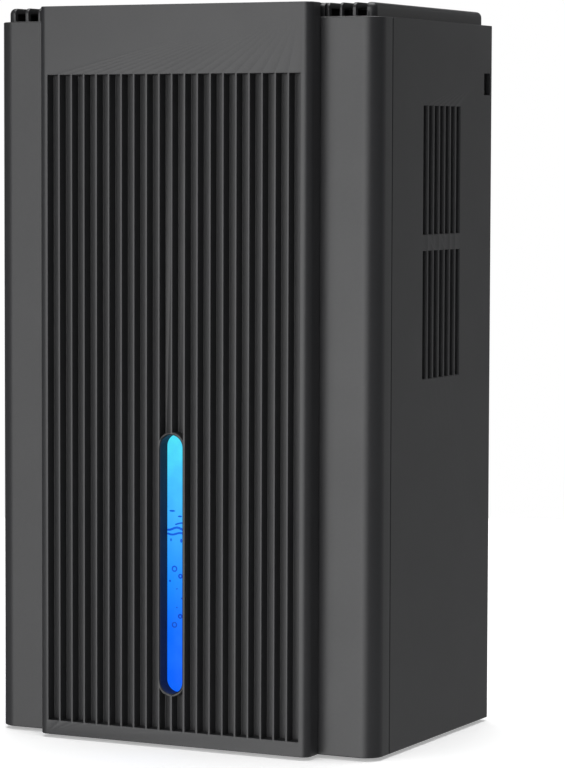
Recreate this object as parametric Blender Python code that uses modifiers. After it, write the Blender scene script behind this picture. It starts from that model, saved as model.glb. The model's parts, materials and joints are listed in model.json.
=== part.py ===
"""Tabletop thermoelectric dehumidifier with a ribbed front panel and a rear pull-out water tank.

Units are metres, +Z is up and the ribbed front faces -Y. The origin is on the floor under the
middle of the body. A depth is counted back from the face of the front panel, and a level is
counted up from the underside of the casing.
"""
import math

import bmesh
import bpy
from mathutils import Matrix, Vector

# Overall size
WIDTH = 0.1922
DEPTH = 0.1356
FOOT_DROP = 0.0015
BODY_HEIGHT = 0.3237
COVER_RISE = 0.0063
PANEL_HEIGHT = BODY_HEIGHT + COVER_RISE
WALL = 0.0025
GAP = 0.0003
REACH = 0.004
BITE = 0.0005

FACE = -DEPTH / 2
FLOOR = FOOT_DROP
SIDE = WIDTH / 2
INNER_SIDE = SIDE - WALL
FIT_SIDE = INNER_SIDE - GAP

# Front panel: upright grooves between thin ribs, and a tall window with a raised rim
PANEL_HALF = 0.0683
PANEL_SHEET = 0.0070
PANEL_DEPTH = 0.0101
PANEL_RIM = 0.0020
PANEL_EDGE = 0.0038
GROOVE_COUNT = 20
GROOVE_PITCH = 0.0064
GROOVE_WIDTH = 0.00525
GROOVE_DEPTH = 0.0053
GROOVE_LOW = 0.00665
GROOVE_HIGH = 0.2992
WINDOW_LOW = 0.0219
WINDOW_HIGH = 0.1406
WINDOW_HALF = 0.0069
WINDOW_RIM = 0.0011
PEG_RADIUS = 0.0025
PEG_X = 0.0600
PEG_LEVELS = (0.020, 0.300)

# Light board behind the window: a narrow board with a row of light chips
BOARD_THICKNESS = 0.0016
LIGHT_BOARD_HALF = 0.0090
LIGHT_BOARD_LEVELS = (0.0180, 0.1450)
CHIP_HALF = 0.00175
CHIP_HEIGHT = 0.0028
CHIP_RISE = 0.0010
CHIP_LOW = 0.0275
CHIP_COUNT = 9
CHIP_PITCH = 0.0130

# Casing
WING_DEPTH = 0.0104
WING_CORNER = 0.0080
SEAM_DEPTH = 0.0250
REAR_CORNER = 0.0015
SHELF_LOW = 0.1500
SHELF_HIGH = 0.1525
VENT_COUNT = 7
VENT_PITCH = 0.00605
VENT_WIDTH = 0.00395
VENT_DEPTH = 0.0582
VENT_LEVELS = ((0.1638, 0.2212), (0.2284, 0.2859))
SNAP_DEPTHS = (0.1257, 0.1326)
SNAP_LEVELS = (0.2916, 0.3016)
SNAP_TONGUE_X = 0.0895
BOSS_SIZE = 0.0090
BOSS_X = 0.0890
BASE_BOSS_DEPTHS = (0.0340, 0.1240)
BASE_BOSS_TOP = 0.0160
BASE_BORE_LENGTH = 0.0220
REAR_BOSS_LEVELS = (0.1620, 0.3125)
REAR_BOSS_FRONT = 0.1120
REAR_BORE_LENGTH = 0.0280
SCREW_RADIUS = 0.0015
SCREW_HOLE = 0.0018
HEAD_HOLE = 0.0036
HEAD_RADIUS = 0.0032
HEAD_HEIGHT = 0.0012
HEAD_SEAT = 0.0013
HEAD_SINK = 0.0016
BASE_SCREW_LENGTH = 0.0115
REAR_SCREW_LENGTH = 0.0125

# Top cover and its controls
COVER_HALF = 0.0926
COVER_FRONT = 0.0140
COVER_REAR = 0.1324
COVER_EDGE = 0.0026
COVER_CORNER = 0.0030
CONTROL_CORNER = 0.0030
COVER_SKIN = 0.0027
COVER_NOSE_HALF = 0.0660
FLANGE_LOW = 0.3204
COMB_SLOTS = ((0.07055, 0.07540), (0.07680, 0.08170), (0.08340, 0.08850))
COMB_END = 0.0340
RELIEF_X = (0.06825, 0.06910)
RELIEF_DEPTH = 0.0020
CONTROL_HALF = 0.0360
CONTROL_DEPTHS = (0.0400, 0.0660)
CONTROL_LEDGE = 0.0030
CONTROL_SINK = 0.0018
POST_X = 0.0385
POST_DEPTHS = (0.0440, 0.0620)
POST_RADIUS = 0.0022
POST_LOW = 0.3240
CONTROL_BOARD_HALF = 0.0410
CONTROL_BOARD_DEPTHS = (0.0410, 0.0650)
CONTROL_BOARD_LEVELS = (0.3221, 0.3237)
SWITCH_HALF = 0.0030
SWITCH_TOP = 0.3254
PLUNGER_RADIUS = 0.0017
PLUNGER_TOP = 0.3263
BUTTON_X = {"power_button": -0.020, "speed_button": 0.0, "light_button": 0.020}
BUTTON_DEPTH = 0.0530
BUTTON_RADIUS = 0.0060
BUTTON_FLANGE = 0.0072
BUTTON_FLANGE_THICKNESS = 0.0008
BUTTON_SINK = 0.0001
BUTTON_EDGE = 0.0004

# Base and feet
BASE_THICKNESS = 0.0030
BASE_CORNER = 0.0060
FOOT_RADIUS = 0.0080
FOOT_SINK = 0.0007
FOOT_EDGE = 0.0004
FOOT_X = 0.0740
FOOT_DEPTHS = (0.0300, 0.1180)
GUIDE_X = (0.0848, 0.0868)
GUIDE_DEPTHS = (0.0420, 0.1160)
GUIDE_TOP = 0.0090

# Cooling stack, from front to back: cold sink, cell in its gasket, hot sink, fan
STACK_LEVEL = 0.2350
PARTITION_DEPTHS = (0.0499, 0.0523)
PARTITION_TOP = 0.3200
PASSAGE_X = (0.0500, 0.0800)
PASSAGE_LEVELS = (0.1650, 0.1850)
CELL_DEPTHS = (0.0493, 0.0529)
CELL_HALF = 0.0200
CELL_EDGE = 0.0004
GASKET_HALF = 0.0317
COLD_HALF_X = 0.0350
COLD_HALF_Z = 0.0400
COLD_DEPTHS = (0.0270, 0.0450, 0.0490)
COLD_FINS = 8
COLD_PITCH = 0.0084
COLD_FIN = 0.0014
HOT_HALF = 0.0450
HOT_DEPTHS = (0.0532, 0.0582, 0.0920)
HOT_FINS = 12
HOT_PITCH = 0.0079
HOT_FIN = 0.0012
CLAMP_OFFSET = 0.0365
CLAMP_HEAD_RADIUS = 0.0027
CLAMP_HEAD_HEIGHT = 0.0024
CLAMP_LENGTH = 0.0122
CLAMP_BORE_LENGTH = 0.0120
HOT_BORE_LENGTH = 0.0094
FAN_HALF = 0.0460
FAN_DEPTHS = (0.0940, 0.1190)
FAN_BORE = 0.0440
FAN_CORNER = 0.0040
FAN_STRUT_HALF = 0.0025
FAN_STRUT_THICKNESS = 0.0030
FAN_SCREW_OFFSET = 0.04125
FAN_SCREW_HOLE = 0.00215
FAN_SCREW_HEIGHT = 0.0022
FAN_SCREW_LENGTH = 0.0330
FAN_CUT = 0.0400
BEARING_RADIUS = 0.0022
SPINDLE_LENGTH = 0.0040
HUB_RADIUS = 0.0160
HUB_DEPTHS = (0.0970, 0.1155)
BLADE_COUNT = 7
BLADE_TIP = 0.0420
BLADE_CHORD = 0.0200
BLADE_THICKNESS = 0.0016
BLADE_PITCH = math.radians(38)

# Drip tray over the tank
TRAY_HALF = 0.0380
TRAY_DEPTHS = (0.0260, 0.0480)
TRAY_TOP = 0.1660
TRAY_WALL = 0.0016
TRAY_FLOOR = 0.0024
TRAY_CORNER = 0.0030
BASIN_CORNER = 0.0020
SPOUT_DEPTH = 0.0370
SPOUT_RADIUS = 0.0050
SPOUT_LOW = 0.1468
SPOUT_ROOT = 0.0020
SPOUT_BORE = 0.0240

# Water tank, lid, rear door and float
TANK_HALF = 0.0840
TANK_DEPTHS = (0.0170, 0.1295)
TANK_LOW = 0.0033
TANK_TOP = 0.1400
TANK_WALL = 0.0022
TANK_CORNER = 0.0060
LID_TOP = 0.1430
SKIRT_WALL = 0.0018
SKIRT_DROP = 0.0040
DRIP_HALF = 0.0220
DRIP_DEPTHS = (0.0280, 0.0460)
DRIP_CORNER = 0.0060
GRIP_HALF = 0.0380
GRIP_LEVELS = (0.1035, 0.1305)
GRIP_MOUTH = 0.1220
GRIP_DEPTH = 0.1222
GRIP_WALL = 0.0020
DOOR_HALF = 0.0932
DOOR_DEPTHS = (0.1298, 0.1353)
DOOR_LEVELS = (0.0034, 0.1496)
DOOR_EDGE = 0.0008
DOOR_BORDER = 0.0030
FLOAT_X = -0.0600
FLOAT_DEPTH = 0.0780
FLOAT_LEVEL = 0.1305
FLOAT_DROOP = math.radians(40)
FLOAT_ARM = 0.0260
FLOAT_HALF_X = 0.0130
FLOAT_HALF_Y = 0.0110
FLOAT_HEIGHTS = (-0.0060, 0.0040)
ARM_HALF_X = 0.0040
ARM_HALF_Z = 0.0012
ARM_BACK = 0.0025
EAR_X = (0.0050, 0.0070)
EAR_HALF = 0.0030
PIN_LENGTH = 0.0150
MAGNET_RADIUS = 0.0040
MAGNET_THICKNESS = 0.0030
MAGNET_HEIGHT = 0.0025
MAGNET_POCKET = 0.0066

# Reed switch over the float's magnet
REED_X = (-0.0680, -0.0520)
REED_DEPTHS = (0.0930, 0.1050)
REED_LOW = 0.1474
REED_CORNER = 0.0006

# Internal leads and the slot that lets the cell lead out of the stack
LEAD_RADIUS = 0.0011
LEAD_SLOT = 0.0016
LEAD_EXIT = 0.0490

# Rear cover and inlet
COVER_PLATE_DEPTHS = (0.1328, 0.1353)
GRILLE_RADIUS = 0.0420
GRILLE_PITCH = 0.0075
GRILLE_SLOT = 0.0045
JACK_X = 0.0700
JACK_LEVEL = 0.1720
JACK_RADIUS = 0.0044
JACK_HALF = 0.0060
JACK_FRONT = 0.1190
JACK_BARREL = 0.0040
JACK_BORE = 0.0029
JACK_BORE_DEPTHS = (0.1260, 0.1360)
JACK_PIN = 0.0010
JACK_PIN_DEPTHS = (0.1245, 0.1335)
TONGUE_THICKNESS = 0.0020
TONGUE_LEAD = 0.0012
TONGUE_REACH = 0.0040
BARB_RISE = 0.0006
BARB_INSET = 0.0015
BARB_HEIGHT = 0.0018

CHARCOAL = (0.040, 0.041, 0.044, 1.0)
BLACK = (0.018, 0.018, 0.020, 1.0)
GREY_INNER = (0.10, 0.10, 0.11, 1.0)
ALUMINIUM = (0.70, 0.71, 0.73, 1.0)
STEEL = (0.52, 0.53, 0.55, 1.0)
BOARD_GREEN = (0.03, 0.16, 0.07, 1.0)
RUBBER = (0.02, 0.02, 0.02, 1.0)
LENS_BLUE = (0.16, 0.62, 0.95, 1.0)
SMOKE = (0.30, 0.38, 0.44, 1.0)
FOAM = (0.85, 0.85, 0.82, 1.0)
CERAMIC = (0.90, 0.90, 0.88, 1.0)
GLASS = (0.75, 0.76, 0.78, 1.0)

FACING_FRONT = (math.pi / 2, 0.0, 0.0)
FACING_BACK = (-math.pi / 2, 0.0, 0.0)
UPSIDE_DOWN = (math.pi, 0.0, 0.0)
SIDES = {"left": -1, "right": 1}
NOTHING = 0.00001


def clear_scene():
    for item in list(bpy.data.objects):
        bpy.data.objects.remove(item, do_unlink=True)


def new_collection(name):
    made = bpy.data.collections.new(name)
    bpy.context.scene.collection.children.link(made)
    return made


clear_scene()
PARTS = new_collection("dehumidifier")
CUTTERS = new_collection("cutters")


def depth(value):
    """World Y of a depth behind the front panel's face."""
    return FACE + value


def level(value):
    """World Z of a level above the casing's underside."""
    return FLOOR + value


def place(name, mesh, location, rotation=(0.0, 0.0, 0.0)):
    item = bpy.data.objects.new(name, mesh)
    item.location = location
    item.rotation_euler = rotation
    PARTS.objects.link(item)
    return item


def box(name, x_span, depth_span, level_span):
    """An upright box between two widths, two depths and two levels."""
    low = Vector((x_span[0], depth(depth_span[0]), level(level_span[0])))
    high = Vector((x_span[1], depth(depth_span[1]), level(level_span[1])))
    size = high - low
    bm = bmesh.new()
    bmesh.ops.create_cube(bm, size=1.0, matrix=Matrix.Diagonal((size.x, size.y, size.z, 1.0)))
    mesh = bpy.data.meshes.new(name)
    bm.to_mesh(mesh)
    bm.free()
    return place(name, mesh, (low + high) / 2)


def cylinder(name, radius, length, centre, axis="Z", segments=24):
    """A closed cylinder about its centre point, along Z, Y or X."""
    bm = bmesh.new()
    bmesh.ops.create_cone(
        bm, cap_ends=True, segments=segments, radius1=radius, radius2=radius, depth=length
    )
    mesh = bpy.data.meshes.new(name)
    bm.to_mesh(mesh)
    bm.free()
    turns = {
        "Z": (0.0, 0.0, 0.0),
        "Y": (math.pi / 2, 0.0, 0.0),
        "X": (0.0, math.pi / 2, 0.0),
    }
    return place(name, mesh, centre, turns[axis])


def turned(name, profile, location, rotation=(0.0, 0.0, 0.0), steps=16):
    """A turned shape: profile points (radius, height) run from the top down to the bottom."""
    bm = bmesh.new()
    points = [bm.verts.new((radius, 0.0, height)) for radius, height in profile]
    for start, end in zip(points, points[1:]):
        bm.edges.new((start, end))
    mesh = bpy.data.meshes.new(name)
    bm.to_mesh(mesh)
    bm.free()
    item = place(name, mesh, location, rotation)
    screw = item.modifiers.new("turn", "SCREW")
    screw.steps = steps
    screw.render_steps = steps
    screw.use_merge_vertices = True
    screw.merge_threshold = 0.00001
    return item


def stadium_points(half_width, low, high, segments=12):
    """Outline of an upright slot with half-round ends, as (x, z) about its own middle."""
    reach = (high - low) / 2 - half_width
    points = []
    for start, middle in ((0.0, reach), (math.pi, -reach)):
        for step in range(segments + 1):
            angle = start + math.pi * step / segments
            points.append((half_width * math.cos(angle), middle + half_width * math.sin(angle)))
    return points


def stadium(name, half_width, levels, depths):
    """An upright half-round-ended slab facing front, made from a flat filled outline."""
    outline = bpy.data.curves.new(name, "CURVE")
    outline.dimensions = "2D"
    outline.fill_mode = "BOTH"
    outline.extrude = (depths[1] - depths[0]) / 2
    points = stadium_points(half_width, levels[0], levels[1])
    spline = outline.splines.new("POLY")
    spline.points.add(len(points) - 1)
    for point, (x, z) in zip(spline.points, points):
        point.co = (x, z, 0.0, 1.0)
    spline.use_cyclic_u = True
    guide = bpy.data.objects.new(name + "_outline", outline)
    guide.location = (0.0, depth(sum(depths) / 2), level(sum(levels) / 2))
    guide.rotation_euler = (math.pi / 2, 0.0, 0.0)
    CUTTERS.objects.link(guide)
    return solid_from_curve(name, guide)


def solid_from_curve(name, guide):
    """Turn a filled or bevelled curve into one welded mesh object and remove the curve."""
    bpy.context.view_layer.update()
    graph = bpy.context.evaluated_depsgraph_get()
    mesh = bpy.data.meshes.new_from_object(guide.evaluated_get(graph))
    bm = bmesh.new()
    bm.from_mesh(mesh)
    bmesh.ops.remove_doubles(bm, verts=bm.verts, dist=0.000001)
    bmesh.ops.recalc_face_normals(bm, faces=bm.faces)
    bm.to_mesh(mesh)
    bm.free()
    mesh.name = name
    item = bpy.data.objects.new(name, mesh)
    item.matrix_world = guide.matrix_world
    PARTS.objects.link(item)
    bpy.data.objects.remove(guide, do_unlink=True)
    return item


def tube(name, route, radius, sides=2):
    """A round lead along hand-placed points, each (x, depth, level)."""
    path = bpy.data.curves.new(name, "CURVE")
    path.dimensions = "3D"
    path.bevel_depth = radius
    path.bevel_resolution = sides
    path.use_fill_caps = True
    points = smooth_route([Vector((x, depth(y), level(z))) for x, y, z in route])
    spline = path.splines.new("POLY")
    spline.points.add(len(points) - 1)
    for point, place_at in zip(spline.points, points):
        point.co = (*place_at, 1.0)
    guide = bpy.data.objects.new(name + "_path", path)
    CUTTERS.objects.link(guide)
    return solid_from_curve(name, guide)


def smooth_route(points, steps=3):
    """A smooth curve through every point (Catmull-Rom)."""
    ends = [points[0] * 2 - points[1]] + points + [points[-1] * 2 - points[-2]]
    route = [points[0]]
    for before, start, end, after in zip(ends, ends[1:], ends[2:], ends[3:]):
        for step in range(1, steps + 1):
            t = step / steps
            route.append((
                start * 2
                + (end - before) * t
                + (before * 2 - start * 5 + end * 4 - after) * t * t
                + (start * 3 - before - end * 3 + after) * t * t * t
            ) * 0.5)
    return route


def round_edges(item, radius, segments, chosen):
    """Round the edges for which chosen(middle, direction) holds, in world space."""
    bm = bmesh.new()
    bm.from_mesh(item.data)
    edges = []
    for edge in bm.edges:
        start, end = (corner.co for corner in edge.verts)
        if chosen(item.location + (start + end) / 2, (end - start).normalized()):
            edges.append(edge)
    bmesh.ops.bevel(
        bm, geom=edges, offset=radius, segments=segments, profile=0.5, affect="EDGES"
    )
    bm.to_mesh(item.data)
    bm.free()
    return item


def upright(direction):
    return abs(direction.z) > 0.9


def front_upright(item):
    """Chooses the upright edges on the front half of an item."""
    return lambda middle, direction: upright(direction) and middle.y < item.location.y


def rear_upright(item):
    return lambda middle, direction: upright(direction) and middle.y > item.location.y


def all_upright(middle, direction):
    return upright(direction)


def every_edge(middle, direction):
    return True


def front_to_back(middle, direction):
    return abs(direction.y) > 0.9


def boolean(item, other, operation):
    for owner in other.users_collection:
        owner.objects.unlink(other)
    CUTTERS.objects.link(other)
    other.hide_render = True
    other.display_type = "WIRE"
    step = item.modifiers.new(operation.lower(), "BOOLEAN")
    step.operation = operation
    step.solver = "EXACT"
    step.object = other
    return item


def cut(item, *others):
    for other in others:
        boolean(item, other, "DIFFERENCE")
    return item


def join(item, *others):
    for other in others:
        boolean(item, other, "UNION")
    return item


def repeat(item, count, offset):
    """Repeat a piece in a row with a constant step."""
    array = item.modifiers.new("row", "ARRAY")
    array.count = count
    array.use_relative_offset = False
    array.use_constant_offset = True
    array.constant_offset_displace = offset
    array.merge_threshold = 0.00001
    return item


def finish(item, colour, roughness, metallic=0.0, alpha=1.0, smooth=False):
    """Give a sub-part its own material, and smooth shading where it is round."""
    material = bpy.data.materials.new(item.name + "_material")
    material.use_nodes = True
    shader = material.node_tree.nodes["Principled BSDF"]
    shader.inputs["Base Color"].default_value = colour
    shader.inputs["Roughness"].default_value = roughness
    shader.inputs["Metallic"].default_value = metallic
    shader.inputs["Alpha"].default_value = alpha
    item.data.materials.append(material)
    if smooth:
        item.data.shade_smooth()
        item.data.set_sharp_from_angle(angle=math.radians(35))
    return item


def attach(child, parent):
    """Parent a piece without moving it."""
    child.parent = parent
    child.matrix_parent_inverse = Matrix.Translation(parent.location).inverted()


def joint_empty(name, location):
    empty = bpy.data.objects.new(name, None)
    empty.location = location
    empty.empty_display_size = 0.02
    PARTS.objects.link(empty)
    return empty


def side_span(side, near, far):
    """An X span on the left (-1) or right (+1), from a distance near to a distance far."""
    return tuple(sorted((side * near, side * far)))


def make_front_panel():
    panel = box(
        "front_panel", (-PANEL_HALF, PANEL_HALF), (0.0, PANEL_DEPTH), (0.0, PANEL_HEIGHT)
    )
    round_edges(panel, PANEL_EDGE, 6, front_upright(panel))
    pocket_half = PANEL_HALF - PANEL_RIM
    pocket = box(
        "panel_pocket",
        (-pocket_half, pocket_half),
        (PANEL_SHEET, PANEL_DEPTH + REACH),
        (PANEL_RIM, PANEL_HEIGHT - PANEL_RIM),
    )
    first = -GROOVE_PITCH * (GROOVE_COUNT - 1) / 2
    groove = box(
        "panel_groove",
        (first - GROOVE_WIDTH / 2, first + GROOVE_WIDTH / 2),
        (-REACH, GROOVE_DEPTH),
        (GROOVE_LOW, GROOVE_HIGH),
    )
    repeat(groove, GROOVE_COUNT, (GROOVE_PITCH, 0.0, 0.0))
    window = (WINDOW_LOW, WINDOW_HIGH)
    cut(groove, stadium("window_rim_keeper", WINDOW_HALF, window, (-REACH * 2, PANEL_DEPTH)))
    mouth = (WINDOW_LOW + WINDOW_RIM, WINDOW_HIGH - WINDOW_RIM)
    opening = stadium(
        "window_mouth", WINDOW_HALF - WINDOW_RIM, mouth, (-REACH, PANEL_DEPTH + REACH)
    )
    cut(panel, pocket, groove, opening)
    for side in SIDES.values():
        for height in PEG_LEVELS:
            length = WING_DEPTH + WALL - PANEL_SHEET + BITE
            centre = (
                side * PEG_X,
                depth(PANEL_SHEET - BITE + length / 2),
                level(height),
            )
            join(panel, cylinder("panel_peg", PEG_RADIUS, length, centre, "Y", 12))
    return finish(panel, CHARCOAL, 0.42)


def make_window_lens():
    lens = stadium(
        "window_lens",
        WINDOW_HALF + WINDOW_RIM,
        (WINDOW_LOW - WINDOW_RIM, WINDOW_HIGH + WINDOW_RIM),
        (PANEL_SHEET + GAP, WING_DEPTH - GAP),
    )
    return finish(lens, LENS_BLUE, 0.25, alpha=0.9)


def make_light_board():
    board_depth = WING_DEPTH + WALL + GAP
    board = box(
        "light_board",
        (-LIGHT_BOARD_HALF, LIGHT_BOARD_HALF),
        (board_depth, board_depth + BOARD_THICKNESS),
        LIGHT_BOARD_LEVELS,
    )
    chip = box(
        "light_chip",
        (-CHIP_HALF, CHIP_HALF),
        (board_depth - CHIP_RISE, board_depth + BITE),
        (CHIP_LOW, CHIP_LOW + CHIP_HEIGHT),
    )
    join(board, repeat(chip, CHIP_COUNT, (0.0, 0.0, CHIP_PITCH)))
    return finish(board, BOARD_GREEN, 0.5)


def make_front_shell():
    seam = SEAM_DEPTH - GAP / 2
    shell = box("front_shell", (-SIDE, SIDE), (WING_DEPTH, seam), (0.0, BODY_HEIGHT))
    round_edges(shell, WING_CORNER, 8, front_upright(shell))
    hollow = box(
        "front_hollow",
        (-INNER_SIDE, INNER_SIDE),
        (WING_DEPTH + WALL, seam + REACH),
        (-REACH, BODY_HEIGHT + REACH),
    )
    round_edges(hollow, WING_CORNER - WALL, 8, front_upright(hollow))
    light = stadium(
        "light_opening",
        WINDOW_HALF - BITE,
        (WINDOW_LOW, WINDOW_HIGH),
        (WING_DEPTH - REACH, WING_DEPTH + WALL + REACH),
    )
    cut(shell, hollow, light)
    for side in SIDES.values():
        for height in PEG_LEVELS:
            centre = (side * PEG_X, depth(WING_DEPTH), level(height))
            cut(shell, cylinder("peg_hole", PEG_RADIUS + GAP, REACH * 2, centre, "Y", 12))
    return finish(shell, CHARCOAL, 0.42)


def make_rear_housing():
    seam = SEAM_DEPTH + GAP / 2
    housing = box("rear_housing", (-SIDE, SIDE), (seam, DEPTH), (0.0, BODY_HEIGHT))
    round_edges(housing, REAR_CORNER, 3, rear_upright(housing))
    through = (seam - REACH, DEPTH + REACH)
    inner = (-INNER_SIDE, INNER_SIDE)
    machine_bay = box("machine_bay", inner, through, (SHELF_HIGH, BODY_HEIGHT + REACH))
    tank_bay = box("tank_bay", inner, through, (-REACH, SHELF_LOW))
    cut(housing, machine_bay, tank_bay)
    across = (-SIDE - REACH, SIDE + REACH)
    for levels in VENT_LEVELS:
        slot = box("side_vent", across, (VENT_DEPTH, VENT_DEPTH + VENT_WIDTH), levels)
        cut(housing, repeat(slot, VENT_COUNT, (0.0, VENT_PITCH, 0.0)))
    cut(housing, box("snap_window", across, SNAP_DEPTHS, SNAP_LEVELS))
    spout_hole = (0.0, depth(SPOUT_DEPTH), level(SHELF_LOW))
    cut(housing, cylinder("spout_hole", SPOUT_RADIUS + GAP, REACH * 2, spout_hole))
    for side in SIDES.values():
        add_base_bosses(housing, side)
        add_rear_bosses(housing, side)
    return finish(housing, CHARCOAL, 0.45)


def add_base_bosses(housing, side):
    for middle in BASE_BOSS_DEPTHS:
        boss = box(
            "base_boss",
            side_span(side, BOSS_X - BOSS_SIZE / 2, INNER_SIDE + BITE),
            (middle - BOSS_SIZE / 2, middle + BOSS_SIZE / 2),
            (BASE_THICKNESS + GAP, BASE_BOSS_TOP),
        )
        join(housing, boss)
        hole = (side * BOSS_X, depth(middle), level(BASE_THICKNESS))
        cut(housing, cylinder("base_boss_hole", SCREW_HOLE, BASE_BORE_LENGTH, hole, "Z", 12))


def add_rear_bosses(housing, side):
    back = COVER_PLATE_DEPTHS[0] - GAP
    for middle in REAR_BOSS_LEVELS:
        boss = box(
            "rear_boss",
            side_span(side, BOSS_X - BOSS_SIZE / 2, INNER_SIDE + BITE),
            (REAR_BOSS_FRONT, back),
            (middle - BOSS_SIZE / 2, middle + BOSS_SIZE / 2),
        )
        join(housing, boss)
        hole = (side * BOSS_X, depth(back), level(middle))
        cut(housing, cylinder("rear_boss_hole", SCREW_HOLE, REAR_BORE_LENGTH, hole, "Y", 12))


def make_base_plate():
    front = WING_DEPTH + WALL + GAP
    plate = box(
        "base_plate", (-FIT_SIDE, FIT_SIDE), (front, DOOR_DEPTHS[1]), (0.0, BASE_THICKNESS)
    )
    round_edges(plate, BASE_CORNER, 5, front_upright(plate))
    for side in SIDES.values():
        guide = box(
            "tank_guide",
            side_span(side, *GUIDE_X),
            GUIDE_DEPTHS,
            (BASE_THICKNESS - BITE, GUIDE_TOP),
        )
        join(plate, guide)
        for middle in BASE_BOSS_DEPTHS:
            centre = Vector((side * BOSS_X, depth(middle), level(0.0)))
            cut(plate, cylinder("base_screw_hole", SCREW_HOLE, BASE_BORE_LENGTH, centre, "Z", 12))
            cut(plate, cylinder("base_head_hole", HEAD_HOLE, HEAD_SINK * 2, centre, "Z", 16))
        for middle in FOOT_DEPTHS:
            centre = (side * FOOT_X, depth(middle), level(0.0))
            sink = (FOOT_SINK + GAP) * 2
            cut(plate, cylinder("foot_sink", FOOT_RADIUS + GAP, sink, centre, "Z", 24))
    return finish(plate, BLACK, 0.5)


def make_feet():
    names = ("front_left", "front_right", "rear_left", "rear_right")
    spots = [(side * FOOT_X, middle) for middle in FOOT_DEPTHS for side in (-1, 1)]
    profile = (
        (0.0, FOOT_SINK),
        (FOOT_RADIUS, FOOT_SINK),
        (FOOT_RADIUS, FOOT_EDGE - FOOT_DROP),
        (FOOT_RADIUS - FOOT_EDGE, -FOOT_DROP),
        (0.0, -FOOT_DROP),
    )
    for name, (x, middle) in zip(names, spots):
        foot = turned("foot_" + name, profile, (x, depth(middle), level(0.0)), steps=20)
        finish(foot, RUBBER, 0.85, smooth=True)


def screw_profile(head_radius, head_height, length):
    return (
        (0.0, head_height),
        (head_radius * 0.8, head_height),
        (head_radius, head_height * 0.6),
        (head_radius, 0.0),
        (SCREW_RADIUS, 0.0),
        (SCREW_RADIUS, -length),
        (0.0, -length),
    )


def make_screw(name, location, rotation, head_radius, head_height, length):
    profile = screw_profile(head_radius, head_height, length)
    screw = turned(name, profile, location, rotation, steps=10)
    return finish(screw, STEEL, 0.3, 1.0, smooth=True)


def make_base_screws():
    for row, middle in zip(("front", "rear"), BASE_BOSS_DEPTHS):
        for word, side in SIDES.items():
            seat = (side * BOSS_X, depth(middle), level(HEAD_SEAT))
            name = f"base_screw_{row}_{word}"
            make_screw(name, seat, UPSIDE_DOWN, HEAD_RADIUS, HEAD_HEIGHT, BASE_SCREW_LENGTH)


def make_rear_screws():
    seat_depth = COVER_PLATE_DEPTHS[1] - HEAD_SEAT
    for row, middle in zip(("low", "high"), REAR_BOSS_LEVELS):
        for word, side in SIDES.items():
            seat = (side * BOSS_X, depth(seat_depth), level(middle))
            name = f"rear_screw_{row}_{word}"
            make_screw(name, seat, FACING_BACK, HEAD_RADIUS, HEAD_HEIGHT, REAR_SCREW_LENGTH)


def make_top_cover():
    front = WING_DEPTH + WALL + GAP
    flange = box(
        "cover_flange",
        (-FIT_SIDE, FIT_SIDE),
        (front, COVER_PLATE_DEPTHS[0] - GAP),
        (FLANGE_LOW, BODY_HEIGHT - GAP),
    )
    round_edges(flange, BASE_CORNER, 5, front_upright(flange))
    cover = box(
        "top_cover",
        (-COVER_HALF, COVER_HALF),
        (COVER_FRONT, COVER_REAR),
        (FLANGE_LOW + BITE, PANEL_HEIGHT),
    )
    round_edges(cover, COVER_CORNER, 4, all_upright)
    top = level(PANEL_HEIGHT) - NOTHING
    round_edges(cover, COVER_EDGE, 5, lambda middle, direction: middle.z > top)
    nose = box(
        "cover_nose",
        (-COVER_NOSE_HALF, COVER_NOSE_HALF),
        (WING_DEPTH, COVER_FRONT + COVER_EDGE + BITE),
        (BODY_HEIGHT + GAP, PANEL_HEIGHT),
    )
    join(cover, flange, nose)
    hollow = box(
        "cover_hollow",
        (-COVER_HALF + WALL, COVER_HALF - WALL),
        (COVER_FRONT + WALL, COVER_REAR - WALL),
        (FLANGE_LOW - REACH, PANEL_HEIGHT - COVER_SKIN),
    )
    cut(cover, hollow)
    add_comb_slots(cover)
    add_control_opening(cover)
    return finish(cover, CHARCOAL, 0.42)


def add_comb_slots(cover):
    for side in SIDES.values():
        for near, far in COMB_SLOTS:
            slot = box(
                "comb_slot",
                side_span(side, near, far),
                (COVER_FRONT - REACH, COMB_END),
                (BODY_HEIGHT + GAP, PANEL_HEIGHT + REACH),
            )
            cut(cover, slot)
        relief = box(
            "corner_relief",
            side_span(side, *RELIEF_X),
            (COVER_FRONT - REACH, COVER_FRONT + RELIEF_DEPTH),
            (BODY_HEIGHT + GAP, PANEL_HEIGHT + REACH),
        )
        cut(cover, relief)


def add_control_opening(cover):
    sink = box(
        "control_sink",
        (-CONTROL_HALF, CONTROL_HALF),
        CONTROL_DEPTHS,
        (PANEL_HEIGHT - CONTROL_SINK, PANEL_HEIGHT + REACH),
    )
    round_edges(sink, CONTROL_CORNER, 4, all_upright)
    through = box(
        "control_through",
        (-CONTROL_HALF + CONTROL_LEDGE, CONTROL_HALF - CONTROL_LEDGE),
        (CONTROL_DEPTHS[0] + CONTROL_LEDGE, CONTROL_DEPTHS[1] - CONTROL_LEDGE),
        (FLANGE_LOW - REACH, PANEL_HEIGHT + REACH),
    )
    cut(cover, sink, through)
    post_top = PANEL_HEIGHT - COVER_SKIN + BITE
    length = post_top - POST_LOW
    for side in SIDES.values():
        for middle in POST_DEPTHS:
            centre = (side * POST_X, depth(middle), level(POST_LOW + length / 2))
            join(cover, cylinder("board_post", POST_RADIUS, length, centre, "Z", 12))


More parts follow.
